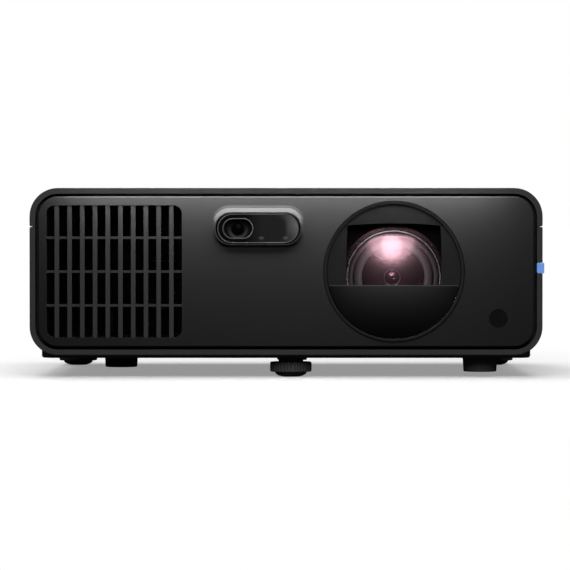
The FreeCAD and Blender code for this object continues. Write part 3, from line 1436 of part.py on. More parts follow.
def serial_port():
    """Nine-pin control socket with its two hex posts."""
    face = REAR_PANEL_Y + REAR_T
    flange_y = (REAR_PANEL_Y - SERIAL_FLANGE_T, REAR_PANEL_Y - FIT)
    end = face + SERIAL_NOSE
    x = middle(SERIAL_X, SERIAL_W)
    z = middle(PORT_Z, SERIAL_H)
    flange = (middle(SERIAL_X, SERIAL_FLANGE_W), middle(PORT_Z, SERIAL_FLANGE_H))
    plate = rounded("Y", *flange, SERIAL_R, flange_y)
    body = block(x, (BOARD_Y, flange_y[1]), z)
    nose = rounded("Y", x, z, SERIAL_R, (flange_y[0], end))
    room_x = (x[0] + SERIAL_WALL, x[1] - SERIAL_WALL)
    room_z = (z[0] + SERIAL_WALL, z[1] - SERIAL_WALL)
    room = rounded("Y", room_x, room_z, SERIAL_R - SERIAL_WALL, (REAR_PANEL_Y, end + 1))
    pins = []
    for count, pin_z in ((5, PORT_Z + PIN_ROW), (4, PORT_Z - PIN_ROW)):
        for pin_x in row(count, PIN_PITCH, SERIAL_X):
            pins.append(rod(PIN_R, V(pin_x, REAR_PANEL_Y - 1, pin_z), V(pin_x, end - PIN_RECESS, pin_z)))
    return joined([joined([plate, body, nose]).cut(room)] + pins)


def mains_inlet():
    """Appliance inlet with its three blades."""
    face = REAR_PANEL_Y + REAR_T
    floor = face - INLET_DEPTH
    x = middle(INLET_X, INLET_W)
    z = middle(PORT_Z, INLET_H)
    lip_x = (x[0] - INLET_LIP, x[1] + INLET_LIP)
    lip_z = (z[0] - INLET_LIP, z[1] + INLET_LIP)
    lip = rounded("Y", lip_x, lip_z, INLET_LIP, (face, face + INLET_LIP_T))
    body = block(x, (floor, face + FIT), z)
    room_x = (x[0] + INLET_WALL, x[1] - INLET_WALL)
    room_z = (z[0] + INLET_WALL, z[1] - INLET_WALL)
    room = rounded("Y", room_x, room_z, INLET_R, (floor + SOCKET_FLOOR, face + INLET_LIP_T + 1))
    blades = []
    low = PORT_Z - EARTH_RISE / 2
    for shift, rise in ((-BLADE_SPREAD, 0), (0, EARTH_RISE), (BLADE_SPREAD, 0)):
        blade_y = (floor + SOCKET_FLOOR - 1, face - BLADE_RECESS)
        blades.append(block(middle(INLET_X + shift, BLADE_W), blade_y, middle(low + rise, BLADE_H)))
    return joined([lip.fuse(body).cut(room)] + blades)


# --- Keypad ---------------------------------------------------------------------------------------------
def key_point(x, y, z):
    """Point measured from the keypad's centre."""
    return V(KEYPAD_X + x, KEYPAD_Y + y, z)


def round_key(radius, x, y, grow, z):
    """Round key outline as a prism."""
    return rod(radius + grow, key_point(x, y, z[0]), key_point(x, y, z[1]))


def side_key(x, y, grow, z):
    """Oblong key outline as a prism."""
    c = key_point(x, y, 0)
    u = middle(c.x, SIDE_KEY_W + 2 * grow)
    v = middle(c.y, SIDE_KEY_L + 2 * grow)
    return rounded("Z", u, v, SIDE_KEY_R + grow, z)


def arrow_key(turn, grow, z):
    """Quarter-ring key outline as a prism, turned to its place round the middle key."""
    bore = round_key(ARROW_IN_R, 0, 0, -grow, (z[0] - 1, z[1] + 1))
    ring = round_key(ARROW_OUT_R, 0, 0, grow, z).cut(bore)
    half = math.radians(ARROW_SWEEP / 2)
    reach = 2 * ARROW_OUT_R
    start = -grow / math.sin(half)
    corner = key_point(start, 0, z[0])
    top = V(corner.x + reach * math.cos(half), corner.y + reach * math.sin(half), z[0])
    low = V(corner.x + reach * math.cos(half), corner.y - reach * math.sin(half), z[0])
    wedge = Part.Face(Part.makePolygon([corner, low, top, corner])).extrude(V(0, 0, z[1] - z[0]))
    key = ring.common(wedge)
    key.rotate(key_point(0, 0, 0), V(0, 0, 1), turn)
    return key


def key_outlines():
    """Name of every key, and a function that gives its outline grown by a margin between two heights."""
    return {
        "key_ok": lambda grow, z: round_key(OK_R, 0, 0, grow, z),
        "key_right": lambda grow, z: arrow_key(0, grow, z),
        "key_up": lambda grow, z: arrow_key(90, grow, z),
        "key_left": lambda grow, z: arrow_key(180, grow, z),
        "key_down": lambda grow, z: arrow_key(270, grow, z),
        "key_power": lambda grow, z: round_key(POWER_R, -SIDE_KEY_X, SIDE_KEY_Y / 2, grow, z),
        "key_source": lambda grow, z: side_key(SIDE_KEY_X, SIDE_KEY_Y, grow, z),
        "key_back": lambda grow, z: side_key(SIDE_KEY_X, -SIDE_KEY_Y, grow, z),
    }


def key_cap(outline):
    """Key with its flange under the keypad plate."""
    flange_top = KEYPAD_Z - BUTTON_GAP / 2
    cap = outline(0, (flange_top - BUTTON_FLANGE_T, TOP_Z + BUTTON_PROUD))
    cap = softened(cap, EDGE_R / 2, 2, TOP_Z + BUTTON_PROUD)
    flange = outline(BUTTON_FLANGE - BUTTON_GAP, (flange_top - BUTTON_FLANGE_T, flange_top))
    return joined([cap, flange])


def keypad_plate():
    """Plate let into the top cover, pierced for the keys and the lamps, with its rim behind."""
    x = middle(KEYPAD_X, KEYPAD_W - 2 * FIT)
    y = middle(KEYPAD_Y, KEYPAD_L - 2 * FIT)
    low = CEILING_Z - KEYPAD_LAP_T
    plate = rounded("Z", x, y, KEYPAD_R - FIT, (KEYPAD_Z, TOP_Z))
    lap_x = (x[0] - KEYPAD_LAP, x[1] + KEYPAD_LAP)
    lap_y = (y[0] - KEYPAD_LAP, y[1] + KEYPAD_LAP)
    lap = rounded("Z", lap_x, lap_y, KEYPAD_R + KEYPAD_LAP, (low, CEILING_Z))
    neck = rounded("Z", x, y, KEYPAD_R - FIT, (low, KEYPAD_Z))
    room_x = (x[0] + KEYPAD_WALL, x[1] - KEYPAD_WALL)
    room_y = (y[0] + KEYPAD_WALL, y[1] - KEYPAD_WALL)
    room = rounded("Z", room_x, room_y, KEYPAD_R - KEYPAD_WALL, (low - 1, KEYPAD_Z))
    holes = [outline(BUTTON_GAP, (KEYPAD_Z - 1, TOP_Z + 1)) for outline in key_outlines().values()]
    for centre in lamp_places():
        ends = (V(centre.x, centre.y, KEYPAD_Z - 1), V(centre.x, centre.y, TOP_Z + 1))
        holes.append(rod(LAMP_R + RUN, *ends))
    return joined([plate.cut(holes), lap.cut(room), neck.cut(room)])


def lamp_places():
    """Centres of the three indicator lamps."""
    return [key_point(-SIDE_KEY_X + shift, -SIDE_KEY_Y, 0) for shift in row(3, LAMP_PITCH, 0)]


def switch_board_top():
    """Upper face of the keypad's switch board."""
    return KEYPAD_Z - BUTTON_GAP / 2 - BUTTON_FLANGE_T - BUTTON_TRAVEL - AIR


def indicator_lamps():
    """Light pipes from the switch board to the plate."""
    pipes = []
    for c in lamp_places():
        pipe = rod(LAMP_R, V(c.x, c.y, switch_board_top()), V(c.x, c.y, TOP_Z))
        foot = rod(LAMP_R + LAMP_FLANGE, V(c.x, c.y, switch_board_top()), V(c.x, c.y, KEYPAD_Z - FIT))
        pipes.append(pipe.fuse(foot).removeSplitter())
    return Part.makeCompound(pipes)


def switch_board():
    """Board under the keys, hung from the keypad plate's rim."""
    x = middle(KEYPAD_X, KEYPAD_W - 2 * SWITCH_BOARD_INSET)
    y = middle(KEYPAD_Y, KEYPAD_L - 2 * SWITCH_BOARD_INSET)
    z = (switch_board_top() - BOARD_T, switch_board_top())
    board = rounded("Z", x, y, KEYPAD_R - SWITCH_BOARD_INSET, z)
    ears = block(middle(KEYPAD_X, KEYPAD_W - 2 * (FIT + KEYPAD_WALL)), middle(KEYPAD_Y, SWITCH_EAR_W), z)
    return joined([board, ears])


# --- Feet and inserts -----------------------------------------------------------------------------------
def foot_pad(x, y):
    """Domed rubber pad with the peg on which the wheel turns."""
    profile = [
        (0, 0),
        (PAD_R - 3 * PAD_ROUND, 0),
        (PAD_R - 1.3 * PAD_ROUND, 0.5 * PAD_ROUND),
        (PAD_R - 0.3 * PAD_ROUND, 1.2 * PAD_ROUND),
        (PAD_R, PAD_H),
        (FOOT_PEG_R, PAD_H),
        (FOOT_PEG_R, PAD_H + FOOT_PEG_H),
        (0, PAD_H + FOOT_PEG_H),
    ]
    return turned(profile, V(x, y, 0), V(0, 0, 1))


def foot_wheel(x, y):
    """Knurled wheel with its neck and screw stem."""
    low = PAD_H + FIT
    knurl_top = PAD_H + KNURL_H
    profile = [
        (FOOT_PEG_R + RUN, low),
        (WHEEL_R - KNURL_EDGE, low),
        (WHEEL_R, low + KNURL_EDGE),
        (WHEEL_R, knurl_top - KNURL_EDGE),
        (WHEEL_R - KNURL_EDGE, knurl_top),
        (FOOT_NECK_R, knurl_top),
        (FOOT_NECK_R, PLINTH_Z),
        (FOOT_STEM_R, PLINTH_Z),
        (FOOT_STEM_R, PLINTH_Z + FOOT_STEM_LENGTH),
        (0, PLINTH_Z + FOOT_STEM_LENGTH),
        (0, PAD_H + FOOT_PEG_H + FIT),
        (FOOT_PEG_R + RUN, PAD_H + FOOT_PEG_H + FIT),
    ]
    wheel = turned(profile, V(x, y, 0), V(0, 0, 1))
    groove_x = x + WHEEL_R + KNURL_GROOVE_OUT
    groove = rod(KNURL_GROOVE_R, V(groove_x, y, low - 1), V(groove_x, y, knurl_top + 1))
    return wheel.cut(spun(groove, KNURL_COUNT, V(x, y, 0), V(0, 0, 1)))


def mount_bosses():
    """Three tapered bosses under the base, each pierced for its insert."""
    bosses = []
    for x, y in MOUNT_PLACES:
        tip = V(x, y, PLINTH_Z - MOUNT_BOSS_H)
        boss = Part.makeCone(MOUNT_BOSS_TIP_R, MOUNT_BOSS_R, MOUNT_BOSS_H, tip)
        boss = softened(boss, EDGE_R, 2, tip.z)
        bosses.append(boss.cut(rod(INSERT_R, V(x, y, tip.z - 1), V(x, y, PLINTH_Z + 1))))
    return Part.makeCompound(bosses)


def mount_inserts():
    """Brass inserts in the three ceiling-mount bosses."""
    inserts = []
    for x, y in MOUNT_PLACES:
        low = PLINTH_Z - MOUNT_BOSS_H
        inserts.append(tube(INSERT_R, INSERT_BORE_R, V(x, y, low), V(x, y, low + INSERT_LENGTH)))
    return Part.makeCompound(inserts)


# --- Assembly -------------------------------------------------------------------------------------------
def assembly():
    """Every node of the projector by name."""
    sleeve = shell()
    nodes = {
        "top_cover": top_cover(sleeve),
        "bottom_cover": bottom_cover(sleeve),
        "front_panel": front_panel(),
        "front_grille": front_grille(),
        "side_grille_exhaust": side_grille(-1),
        "side_grille_intake": side_grille(1),
        "side_tab": side_tab(),
        "lens_trim_ring": lens_trim_ring(),
        "lens_surround": lens_surround(),
        "lens_lower_cover": lens_lower_cover(),
        "sensor_window": sensor_window(),
        "sensor_camera": sensor_camera(),
        "distance_sensor": distance_sensor(),
        "ir_windows": ir_windows(),
        "lens_barrel": lens_barrel(),
        "lens_retainer": lens_retainer(),
        "front_lens": front_lens(),
        "focus_ring": focus_ring(),
        "focus_cell": lens_cell(FOCUS_CELL_AT, INNER_GLASS_R, True),
        "focus_glass": cell_glass(FOCUS_CELL_AT, INNER_GLASS_R),
        "zoom_ring": zoom_ring(),
        "zoom_cell": lens_cell(ZOOM_CELL_AT, INNER_GLASS_R - 3, False),
        "zoom_glass": cell_glass(ZOOM_CELL_AT, INNER_GLASS_R - 3),
        "light_engine": light_engine(),
        "imager_heatsink": imager_heatsink(),
        "laser_module": laser_module(),
        "laser_heatsink": laser_heatsink(),
        "phosphor_wheel": phosphor_wheel(),
        "wheel_motor": wheel_motor(),
        "exhaust_fan_frame": exhaust_fan(fan_frame()),
        "exhaust_fan_rotor": exhaust_fan(fan_rotor()),
        "intake_fan_frame": intake_fan(fan_frame()),
        "intake_fan_rotor": intake_fan(fan_rotor()),
        "power_supply": power_supply(),
        "main_board": main_board(),
        "speaker": speaker(),
        "rear_panel": rear_panel(),
        "signal_sockets": signal_sockets(),
        "audio_jacks": audio_jacks(),
        "serial_port": serial_port(),
        "mains_inlet": mains_inlet(),
        "keypad_plate": keypad_plate(),
        "switch_board": switch_board(),
        "indicator_lamps": indicator_lamps(),
        "mount_bosses": mount_bosses(),
        "mount_inserts": mount_inserts(),
    }
    for name, outline in key_outlines().items():
        nodes[name] = key_cap(outline)
    for place, (x, y) in FOOT_PLACES.items():
        nodes["foot_pad_" + place] = foot_pad(x, y)
        nodes["foot_wheel_" + place] = foot_wheel(x, y)
    return nodes


os.makedirs("parts", exist_ok=True)
for name, shape in assembly().items():
    shape.exportStep("parts/" + name + ".step")
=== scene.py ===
import math

import bmesh
import bpy
import numpy as np
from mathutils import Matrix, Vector


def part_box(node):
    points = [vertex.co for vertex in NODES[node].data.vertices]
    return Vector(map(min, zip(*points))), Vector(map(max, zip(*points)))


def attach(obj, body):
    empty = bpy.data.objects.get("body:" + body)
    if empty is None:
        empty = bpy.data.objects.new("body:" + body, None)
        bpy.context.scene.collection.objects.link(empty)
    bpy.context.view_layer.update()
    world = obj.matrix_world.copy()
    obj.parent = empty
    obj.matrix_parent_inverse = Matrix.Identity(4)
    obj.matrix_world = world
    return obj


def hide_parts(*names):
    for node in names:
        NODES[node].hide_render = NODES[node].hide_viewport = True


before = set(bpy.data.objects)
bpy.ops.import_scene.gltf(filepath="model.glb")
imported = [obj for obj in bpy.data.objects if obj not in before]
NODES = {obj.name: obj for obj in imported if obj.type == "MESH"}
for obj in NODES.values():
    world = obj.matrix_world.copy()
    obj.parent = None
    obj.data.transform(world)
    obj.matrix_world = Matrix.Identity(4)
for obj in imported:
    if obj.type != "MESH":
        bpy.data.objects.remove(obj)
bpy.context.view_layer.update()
MM = 0.001


# --- Outer shell -----------------------------------------------------------------------------
# Two injection-moulded covers of black ABS with a fine spark-eroded grain, screwed together
# from below. The rear panel is moulded in the same resin and drops in between them.
class Value:
    """A shader value. Arithmetic on it adds Math nodes, so a mask reads as a formula."""

    def __init__(self, tree, socket):
        self.tree = tree
        self.socket = socket

    def math(self, operation, *operands):
        """Math node in this value's tree. Its operands are values or numbers."""
        node = self.tree.nodes.new("ShaderNodeMath")
        node.operation = operation
        for slot, operand in zip(node.inputs, operands):
            if isinstance(operand, Value):
                self.tree.links.new(operand.socket, slot)
            else:
                slot.default_value = operand
        return Value(self.tree, node.outputs[0])

    def __add__(self, other):
        return self.math("ADD", self, other)

    __radd__ = __add__

    def __sub__(self, other):
        return self.math("SUBTRACT", self, other)

    def __rsub__(self, other):
        return self.math("SUBTRACT", other, self)

    def __mul__(self, other):
        return self.math("MULTIPLY", self, other)

    __rmul__ = __mul__

    def __truediv__(self, other):
        return self.math("DIVIDE", self, other)

    def __rtruediv__(self, other):
        return self.math("DIVIDE", other, self)

    def __pow__(self, other):
        return self.math("POWER", self, other)

    def absolute(self):
        return self.math("ABSOLUTE", self)

    def sine(self):
        return self.math("SINE", self)

    def at_least(self, other):
        return self.math("MAXIMUM", self, other)

    def clamped(self, low=0.0, high=1.0):
        return self.math("MINIMUM", self.at_least(low), high)

    def ramp(self, start, width):
        """0 up to the start, then rising evenly to 1 over the width."""
        return ((self - start) / width).clamped()

    def hump(self, middle, half_width):
        """1 at the middle, falling as a parabola to 0 at the half width on each side of it."""
        return (1.0 - ((self - middle) / half_width) ** 2).clamped()


def span(across, along):
    """Length of the flat vector that two shader values give."""
    return (across ** 2 + along ** 2) ** 0.5


class Finish:
    """A material, or the world, in the making. node() adds any shader node, its settings first."""

    def __init__(self, name, owner=None):
        self.owner = owner or bpy.data.materials.new(name)
        self.owner.use_nodes = True
        self.tree = self.owner.node_tree
        self.tree.nodes.clear()
        self.place = self.node("TexCoord", output="Object")

    def node(self, kind, settings=None, inputs=None, output=0):
        """Shader node of a kind; its inputs are values to link or constants to set."""
        made = self.tree.nodes.new("ShaderNode" + kind)
        for key, value in (settings or {}).items():
            setattr(made, key, value)
        for key, value in (inputs or {}).items():
            if isinstance(value, Value):
                self.tree.links.new(value.socket, made.inputs[key])
            else:
                made.inputs[key].default_value = value
        return Value(self.tree, made.outputs[output] if made.outputs else None)

    def along(self, axis):
        """Distance along X, Y or Z, in metres."""
        return self.node("SeparateXYZ", inputs={"Vector": self.place}, output=axis)

    def noise(self, scale, detail=2.0, roughness=0.5, stretch=None):
        """Cloudy value round one half; scale is in features per metre."""
        place = self.place
        if stretch:
            place = self.node("Mapping", inputs={"Vector": place, "Scale": stretch})
        sockets = {"Vector": place, "Scale": scale, "Detail": detail, "Roughness": roughness}
        return self.node("TexNoise", inputs=sockets, output="Fac")

    def grain(self, scale):
        """Fine grain of a moulded or painted surface."""
        return self.noise(scale, 1.5, 0.6)

    def tone(self, amount, dark, light):
        """Colour between two colours by a value from 0 to 1."""
        colours = {6: (*dark, 1.0), 7: (*light, 1.0)}
        return self.node("Mix", {"data_type": "RGBA"}, {0: amount, **colours}, 2)

    def bump(self, height, distance):
        """Normal of a relief whose full height is the given distance in metres."""
        return self.node("Bump", inputs={"Height": height, "Distance": distance, "Strength": 1.0})

    def surface(self, **sockets):
        """Principled surface joined to the output; underscores stand for spaces in socket names."""
        inputs = {key.replace("_", " "): value for key, value in sockets.items()}
        return self.output(self.node("BsdfPrincipled", inputs=inputs, output="BSDF"))

    def output(self, shader, kind="OutputMaterial"):
        """Joins a shader to the output and gives back the finished material or world."""
        self.node(kind, inputs={"Surface": shader})
        return self.owner


ABS = {"grain": 2600.0, "relief": 0.04 * MM}
COOL = (1.0, 1.0, 1.03)


def moulded(name, grey, rough, grain=ABS["grain"], relief=ABS["relief"], gloss=0.35, tint=COOL, coat=0.0):
    """Moulded plastic: a sparkled grain, and faint flow clouds in its tone and its polish."""
    finish = Finish(name)
    clouds = finish.noise(14.0, 3.0)
    fine = finish.grain(grain)
    dark = [grey * 0.86 * c for c in tint]
    light = [grey * 1.14 * c for c in tint]
    polish = rough + (clouds - 0.5) * 0.10 + (fine - 0.5) * 0.12
    return finish.surface(
        Base_Color=finish.tone((clouds * 0.6 + fine * 0.4).clamped(), dark, light),
        Roughness=polish.clamped(0.05, 1.0),
        Specular_IOR_Level=gloss,
        Coat_Weight=coat,
        Coat_Roughness=0.26,
        Normal=finish.bump(fine, relief),
    )


def dress(names, material):
    """Gives CAD nodes their material."""
    for name in names:
        data = NODES[name].data
        data.materials.clear()
        data.materials.append(material)


shell_black = moulded("shell_black", grey=0.040, rough=0.80, gloss=0.009)
dress(["top_cover", "bottom_cover", "rear_panel", "mount_bosses"], shell_black)


# --- Front panel -----------------------------------------------------------------------------
# Satin-painted moulding that stands a little out of the frame. Its softened edge catches
# the light all round; it snaps on to the ledge inside the shell.
PAINT = {"grain": 5200.0, "relief": 0.012 * MM}
panel_satin = moulded("panel_satin", grey=0.0025, rough=0.66, gloss=0.06, coat=0.018, **PAINT)
dress(["front_panel"], panel_satin)


# --- Grilles ---------------------------------------------------------------------------------
# Slatted inserts of the same resin as the panel, clipped in from behind. The funnel behind the front
# slats is painted near-black, a painted shade for the recess, and near-black nets across the left vent
# and the rear slots stand in for the shade inside them.
RESIN = {"grain": 4200.0, "relief": 0.02 * MM}
slat_black = moulded("slat_black", grey=0.030, rough=0.50, gloss=0.08, **RESIN)
dress(["side_grille_exhaust", "side_grille_intake"], slat_black)

FUNNEL_SHADE_START = 3.0 * MM
slat_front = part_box("front_grille")[0].y
front_slats = Finish("front_slats")
slat_grain = front_slats.grain(RESIN["grain"])
# Past this depth the slats' colour turns near-black, a painted shade for the funnel's recess.
funnel_painted_shade = front_slats.along("Y").ramp(slat_front + FUNNEL_SHADE_START, 1.0 * MM)
funnel_shade_share = (funnel_painted_shade + slat_grain * 0.2).clamped()
dress(["front_grille"], front_slats.surface(
    Base_Color=front_slats.tone(funnel_shade_share, (0.032, 0.032, 0.033), (0.001, 0.001, 0.001)),
    Roughness=0.62 + (slat_grain - 0.5) * 0.12,
    Specular_IOR_Level=0.045,
    Normal=front_slats.bump(slat_grain, RESIN["relief"]),
))


def piece(name, points, faces, material, body, smooth=True):
    """Mesh piece from an array of points in metres and an array of faces, riding on a body."""
    data = bpy.data.meshes.new(name)
    data.from_pydata(points.reshape(-1, 3).tolist(), [], faces.tolist())
    shape = bmesh.new()
    shape.from_mesh(data)
    bmesh.ops.recalc_face_normals(shape, faces=shape.faces)
    shape.to_mesh(data)
    shape.free()
    data.polygons.foreach_set("use_smooth", [smooth] * len(data.polygons))
    data.materials.append(material)
    data.update()
    made = bpy.data.objects.new(name, data)
    bpy.context.scene.collection.objects.link(made)
    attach(made, body)
    return made


def quads(rows, columns, wrap_rows, wrap_columns):
    """Corner numbers of the four-sided faces of a rows by columns grid.

    Face (r, c) joins points (r, c), (r + 1, c), (r + 1, c + 1) and (r, c + 1), and where the grid
    wraps, the last row or column is followed by the first.
    """
    r = np.arange(rows if wrap_rows else rows - 1)[:, None]
    c = np.arange(columns if wrap_columns else columns - 1)[None, :]
    down = (r + 1) % rows
    right = (c + 1) % columns
    corners = (r * columns + c, down * columns + c, down * columns + right, r * columns + right)
    return np.stack(np.broadcast_arrays(*corners), axis=-1).reshape(-1, 4)


NET_PITCH = 3.0 * MM
NET_WAVE = 0.15 * MM
NET_T = 0.5 * MM
NET_ROWS = 90
NET_COLUMNS = 60
# The nets are near-black and stand in for the shade inside the vent and the slots: a painted shade.
shade_black = moulded("shade_black", grey=0.003, rough=0.9, grain=1200.0, relief=0.2 * MM, gloss=0.0)


def dust_net(name, axis, place, u_range, v_range):
    """Net across an axis at a place on it.

    Its height over the plane is the net's wave times the sine of u and the sine of v, each sine
    one pitch long.
    """
    grid = np.linspace(*u_range, NET_ROWS), np.linspace(*v_range, NET_COLUMNS)
    u, v = np.meshgrid(*grid, indexing="ij")
    weave = NET_WAVE * np.sin(2 * math.pi * u / NET_PITCH) * np.sin(2 * math.pi * v / NET_PITCH)
    order = {"X": (place + weave, u, v), "Y": (u, place + weave, v)}
    faces = quads(NET_ROWS, NET_COLUMNS, False, False)
    net = piece(name, np.stack(order[axis], axis=-1), faces, shade_black, "housing")
    cloth = net.modifiers.new("thickness", "SOLIDIFY")
    cloth.thickness = NET_T
    cloth.offset = 0.0


vent_low, vent_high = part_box("side_grille_exhaust")
rear_low, rear_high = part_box("rear_panel")
VENT_MARGIN = 2.0 * MM
vent_depth = (vent_low.y + VENT_MARGIN, vent_high.y - VENT_MARGIN)
dust_net("vent_net", "X", vent_high.x + 0.6 * MM, vent_depth, (vent_low.z, vent_high.z))
REAR_SLOTS_X = (-0.140, -0.050)
REAR_SLOTS_Z = (0.063, 0.092)
dust_net("slot_net", "Y", rear_low.y - 0.8 * MM, REAR_SLOTS_X, REAR_SLOTS_Z)


# --- Fans ------------------------------------------------------------------------------------
# Two axial fans of glass-filled nylon hung behind the front and right grilles, painted dull near-black, a
# painted shade for the dark inside of the body.
# Frame and rotor are moulded apart, and the rotor turns on the frame's shaft.
shaded_nylon = moulded("shaded_nylon", grey=0.0015, rough=0.9, grain=1500.0, gloss=0.0)
dress(["exhaust_fan_frame", "exhaust_fan_rotor", "intake_fan_frame", "intake_fan_rotor"], shaded_nylon)


# --- Light engine and electronics ------------------------------------------------------------
# Cast and extruded alloy parts, green boards and a small black speaker, screwed to the bottom
# cover. They are seen only in slivers through the slots.
def alloy(name, colour, rough):
    """Bare metal with a drawn grain."""
    finish = Finish(name)
    streaks = finish.noise(900.0, 2.0, 0.5, stretch=(1.0, 0.06, 1.0))
    return finish.surface(
        Base_Color=finish.tone(streaks, [c * 0.82 for c in colour], colour),
        Metallic=1.0,
        Roughness=(rough + (streaks - 0.5) * 0.2).clamped(),
    )


cast_alloy = alloy("cast_alloy", (0.42, 0.42, 0.43), 0.5)
dress(["light_engine", "laser_module", "laser_heatsink", "imager_heatsink", "phosphor_wheel"], cast_alloy)
board_green = moulded("board_green", grey=0.03, rough=0.4, tint=(0.5, 1.8, 0.8))
dress(["power_supply", "main_board", "switch_board"], board_green)
# The speaker gets the same near-black, a painted shade.
dress(["speaker"], shaded_nylon)
steel_plate = alloy("steel_plate", (0.55, 0.55, 0.56), 0.35)
dress(["wheel_motor"], steel_plate)


# --- Lens ------------------------------------------------------------------------------------
# Fixed barrel of black anodised alloy. A threaded retainer holds the domed front glass; stepped
# baffle rings and the focus group show through it. The glasses have a pink multi-layer coat.
TURN_STEPS = 144


def turned_piece(name, profile, centre, material, body, steps=TURN_STEPS, smooth=True):
    """Closed (radius, depth) outline carried round the Y axis through a centre.

    Point (i, j) is the centre plus (r_i sin t_j, d_i, r_i cos t_j), where t_j goes round once in
    equal steps.
    """
    outline = np.array(profile, dtype=float)
    turn = np.linspace(0.0, 2 * math.pi, steps, endpoint=False)[None, :]
    radius = outline[:, :1]
    depth = np.broadcast_to(outline[:, 1:], (len(outline), steps))
    points = np.stack((radius * np.sin(turn), depth, radius * np.cos(turn)), axis=-1)
    faces = quads(len(outline), steps, True, True)
    return piece(name, points + np.array(centre), faces, material, body, smooth)


POLE_R = 0.02 * MM


def arc(radius, sag, depth, count):
    """(radius, depth) points of a spherical cap from its crown, at the given depth, to its rim.

    The ball's radius is (radius squared + sag squared) / (2 sag), and a point's depth is the
    crown's plus the ball's radius less the root of its square less the point's radius squared.
    """
    ball = (radius ** 2 + sag ** 2) / (2 * sag)
    r = np.linspace(POLE_R, radius, count)
    return np.stack((r, depth + ball - np.sqrt(ball ** 2 - r ** 2)), axis=-1)


def coated_glass(name, tint, clear, reflect, rough):
    """Clear body under a tinted coat: a sharp and a veiled reflection, stronger towards the rim."""
    finish = Finish(name)
    facing = finish.node("LayerWeight", inputs={"Blend": 0.18}, output="Fresnel")
    body = finish.node("BsdfTransparent", inputs={"Color": (*clear, 1.0)})
    sharp = finish.node("BsdfGlossy", inputs={"Color": (*tint, 1.0), "Roughness": 0.03})
    veiled = finish.node("BsdfGlossy", inputs={"Color": (*tint, 1.0), "Roughness": rough})
    coat = finish.node("MixShader", inputs={0: 0.92, 1: sharp, 2: veiled})
    mirrored = (facing * 0.2 + reflect).clamped()
    return finish.output(finish.node("MixShader", inputs={0: mirrored, 1: body, 2: coat}))


barrel_black = moulded("barrel_black", grey=0.0015, rough=0.6, gloss=0.01)
dress(["lens_barrel", "focus_ring", "zoom_ring", "focus_cell", "zoom_cell"], barrel_black)

# Front glass: only its dome is coated. The rim and the hollow back are plain.
glass_low, glass_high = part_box("front_lens")
GLASS_R = (glass_high.x - glass_low.x) / 2
LENS_X = (glass_high.x + glass_low.x) / 2
LENS_Z = (glass_high.z + glass_low.z) / 2
AXIS = (LENS_X, 0.0, LENS_Z)
GLASS_SAG = 5.5 * MM
GLASS_RIM = 2.0 * MM
GLASS_HOLLOW = 4.0 * MM
DOME_ROWS = 40
front_coat = coated_glass("front_coat", (1.0, 0.58, 0.68), (0.95, 0.94, 0.96), 0.065, 0.23)
dome = arc(GLASS_R, GLASS_SAG, glass_low.y, DOME_ROWS)
hollow = arc(GLASS_R - GLASS_RIM, GLASS_HOLLOW, glass_high.y - GLASS_HOLLOW, 32)[::-1]
glass = np.concatenate((dome, [[GLASS_R, glass_high.y]], hollow))
front_glass = turned_piece("front_glass", glass, AXIS, front_coat, "housing")
plain = Finish("clear_glass")
clear_body = plain.node("BsdfTransparent", inputs={"Color": (0.97, 0.95, 0.97, 1.0)})
front_glass.data.materials.append(plain.output(clear_body))
uncoated = np.arange(len(front_glass.data.polygons)) >= (DOME_ROWS - 1) * TURN_STEPS
front_glass.data.polygons.foreach_set("material_index", uncoated.astype(int))
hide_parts("front_lens")

# Retainer: a black ring with fine turned ridges, and a polished bevel over the glass's edge.
retainer_low, retainer_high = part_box("lens_retainer")
RETAINER_R = (retainer_high.x - retainer_low.x) / 2
RETAINER_IN = GLASS_R + 0.35 * MM
RIDGE_PITCH = 0.85 * MM
RIDGE_STEP = 0.18 * MM
front_y = retainer_low.y
back_y = retainer_high.y
ridged = [
    (RETAINER_IN, back_y),
    (RETAINER_IN, front_y + 1.3 * MM),
    (RETAINER_IN + 0.35 * MM, front_y + 0.9 * MM),
]
for ridge in range(3):
    inner = RETAINER_IN + 0.5 * MM + RIDGE_PITCH * ridge
    depth = front_y + 0.55 * MM - RIDGE_STEP * ridge
    ridged += [
        (inner, depth + 0.3 * MM),
        (inner + 0.12 * MM, depth + 0.06 * MM),
        (inner + 0.28 * MM, depth),
        (inner + 0.44 * MM, depth + 0.06 * MM),
        (inner + 0.60 * MM, depth + 0.3 * MM),
    ]
ridged += [(RETAINER_R, front_y + 0.4 * MM), (RETAINER_R, back_y)]
retainer_black = alloy("retainer_black", (0.060, 0.034, 0.040), 0.24)
retainer = turned_piece("retaining_ring", ridged, AXIS, retainer_black, "housing")
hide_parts("lens_retainer")

bevel_steel = alloy("bevel_steel", (0.26, 0.24, 0.25), 0.28)
BEVEL_R = GLASS_R - 0.30 * MM
BEVEL_OUT = RETAINER_IN + 0.10 * MM
bevel = [
    (BEVEL_R - 0.15 * MM, front_y + 1.5 * MM),
    (BEVEL_R - 0.05 * MM, front_y + 1.15 * MM),
    (BEVEL_R + 0.35 * MM, front_y + 0.80 * MM),
    (BEVEL_OUT, front_y + 1.2 * MM),
    (BEVEL_OUT, front_y + 2.0 * MM),
]
turned_piece("retainer_bevel", bevel, AXIS, bevel_steel, "housing")


def from_lens_axis(finish):
    """Distance of a surface point from the lens's axis, in metres."""
    return span(finish.along("X") - LENS_X, finish.along("Z") - LENS_Z)
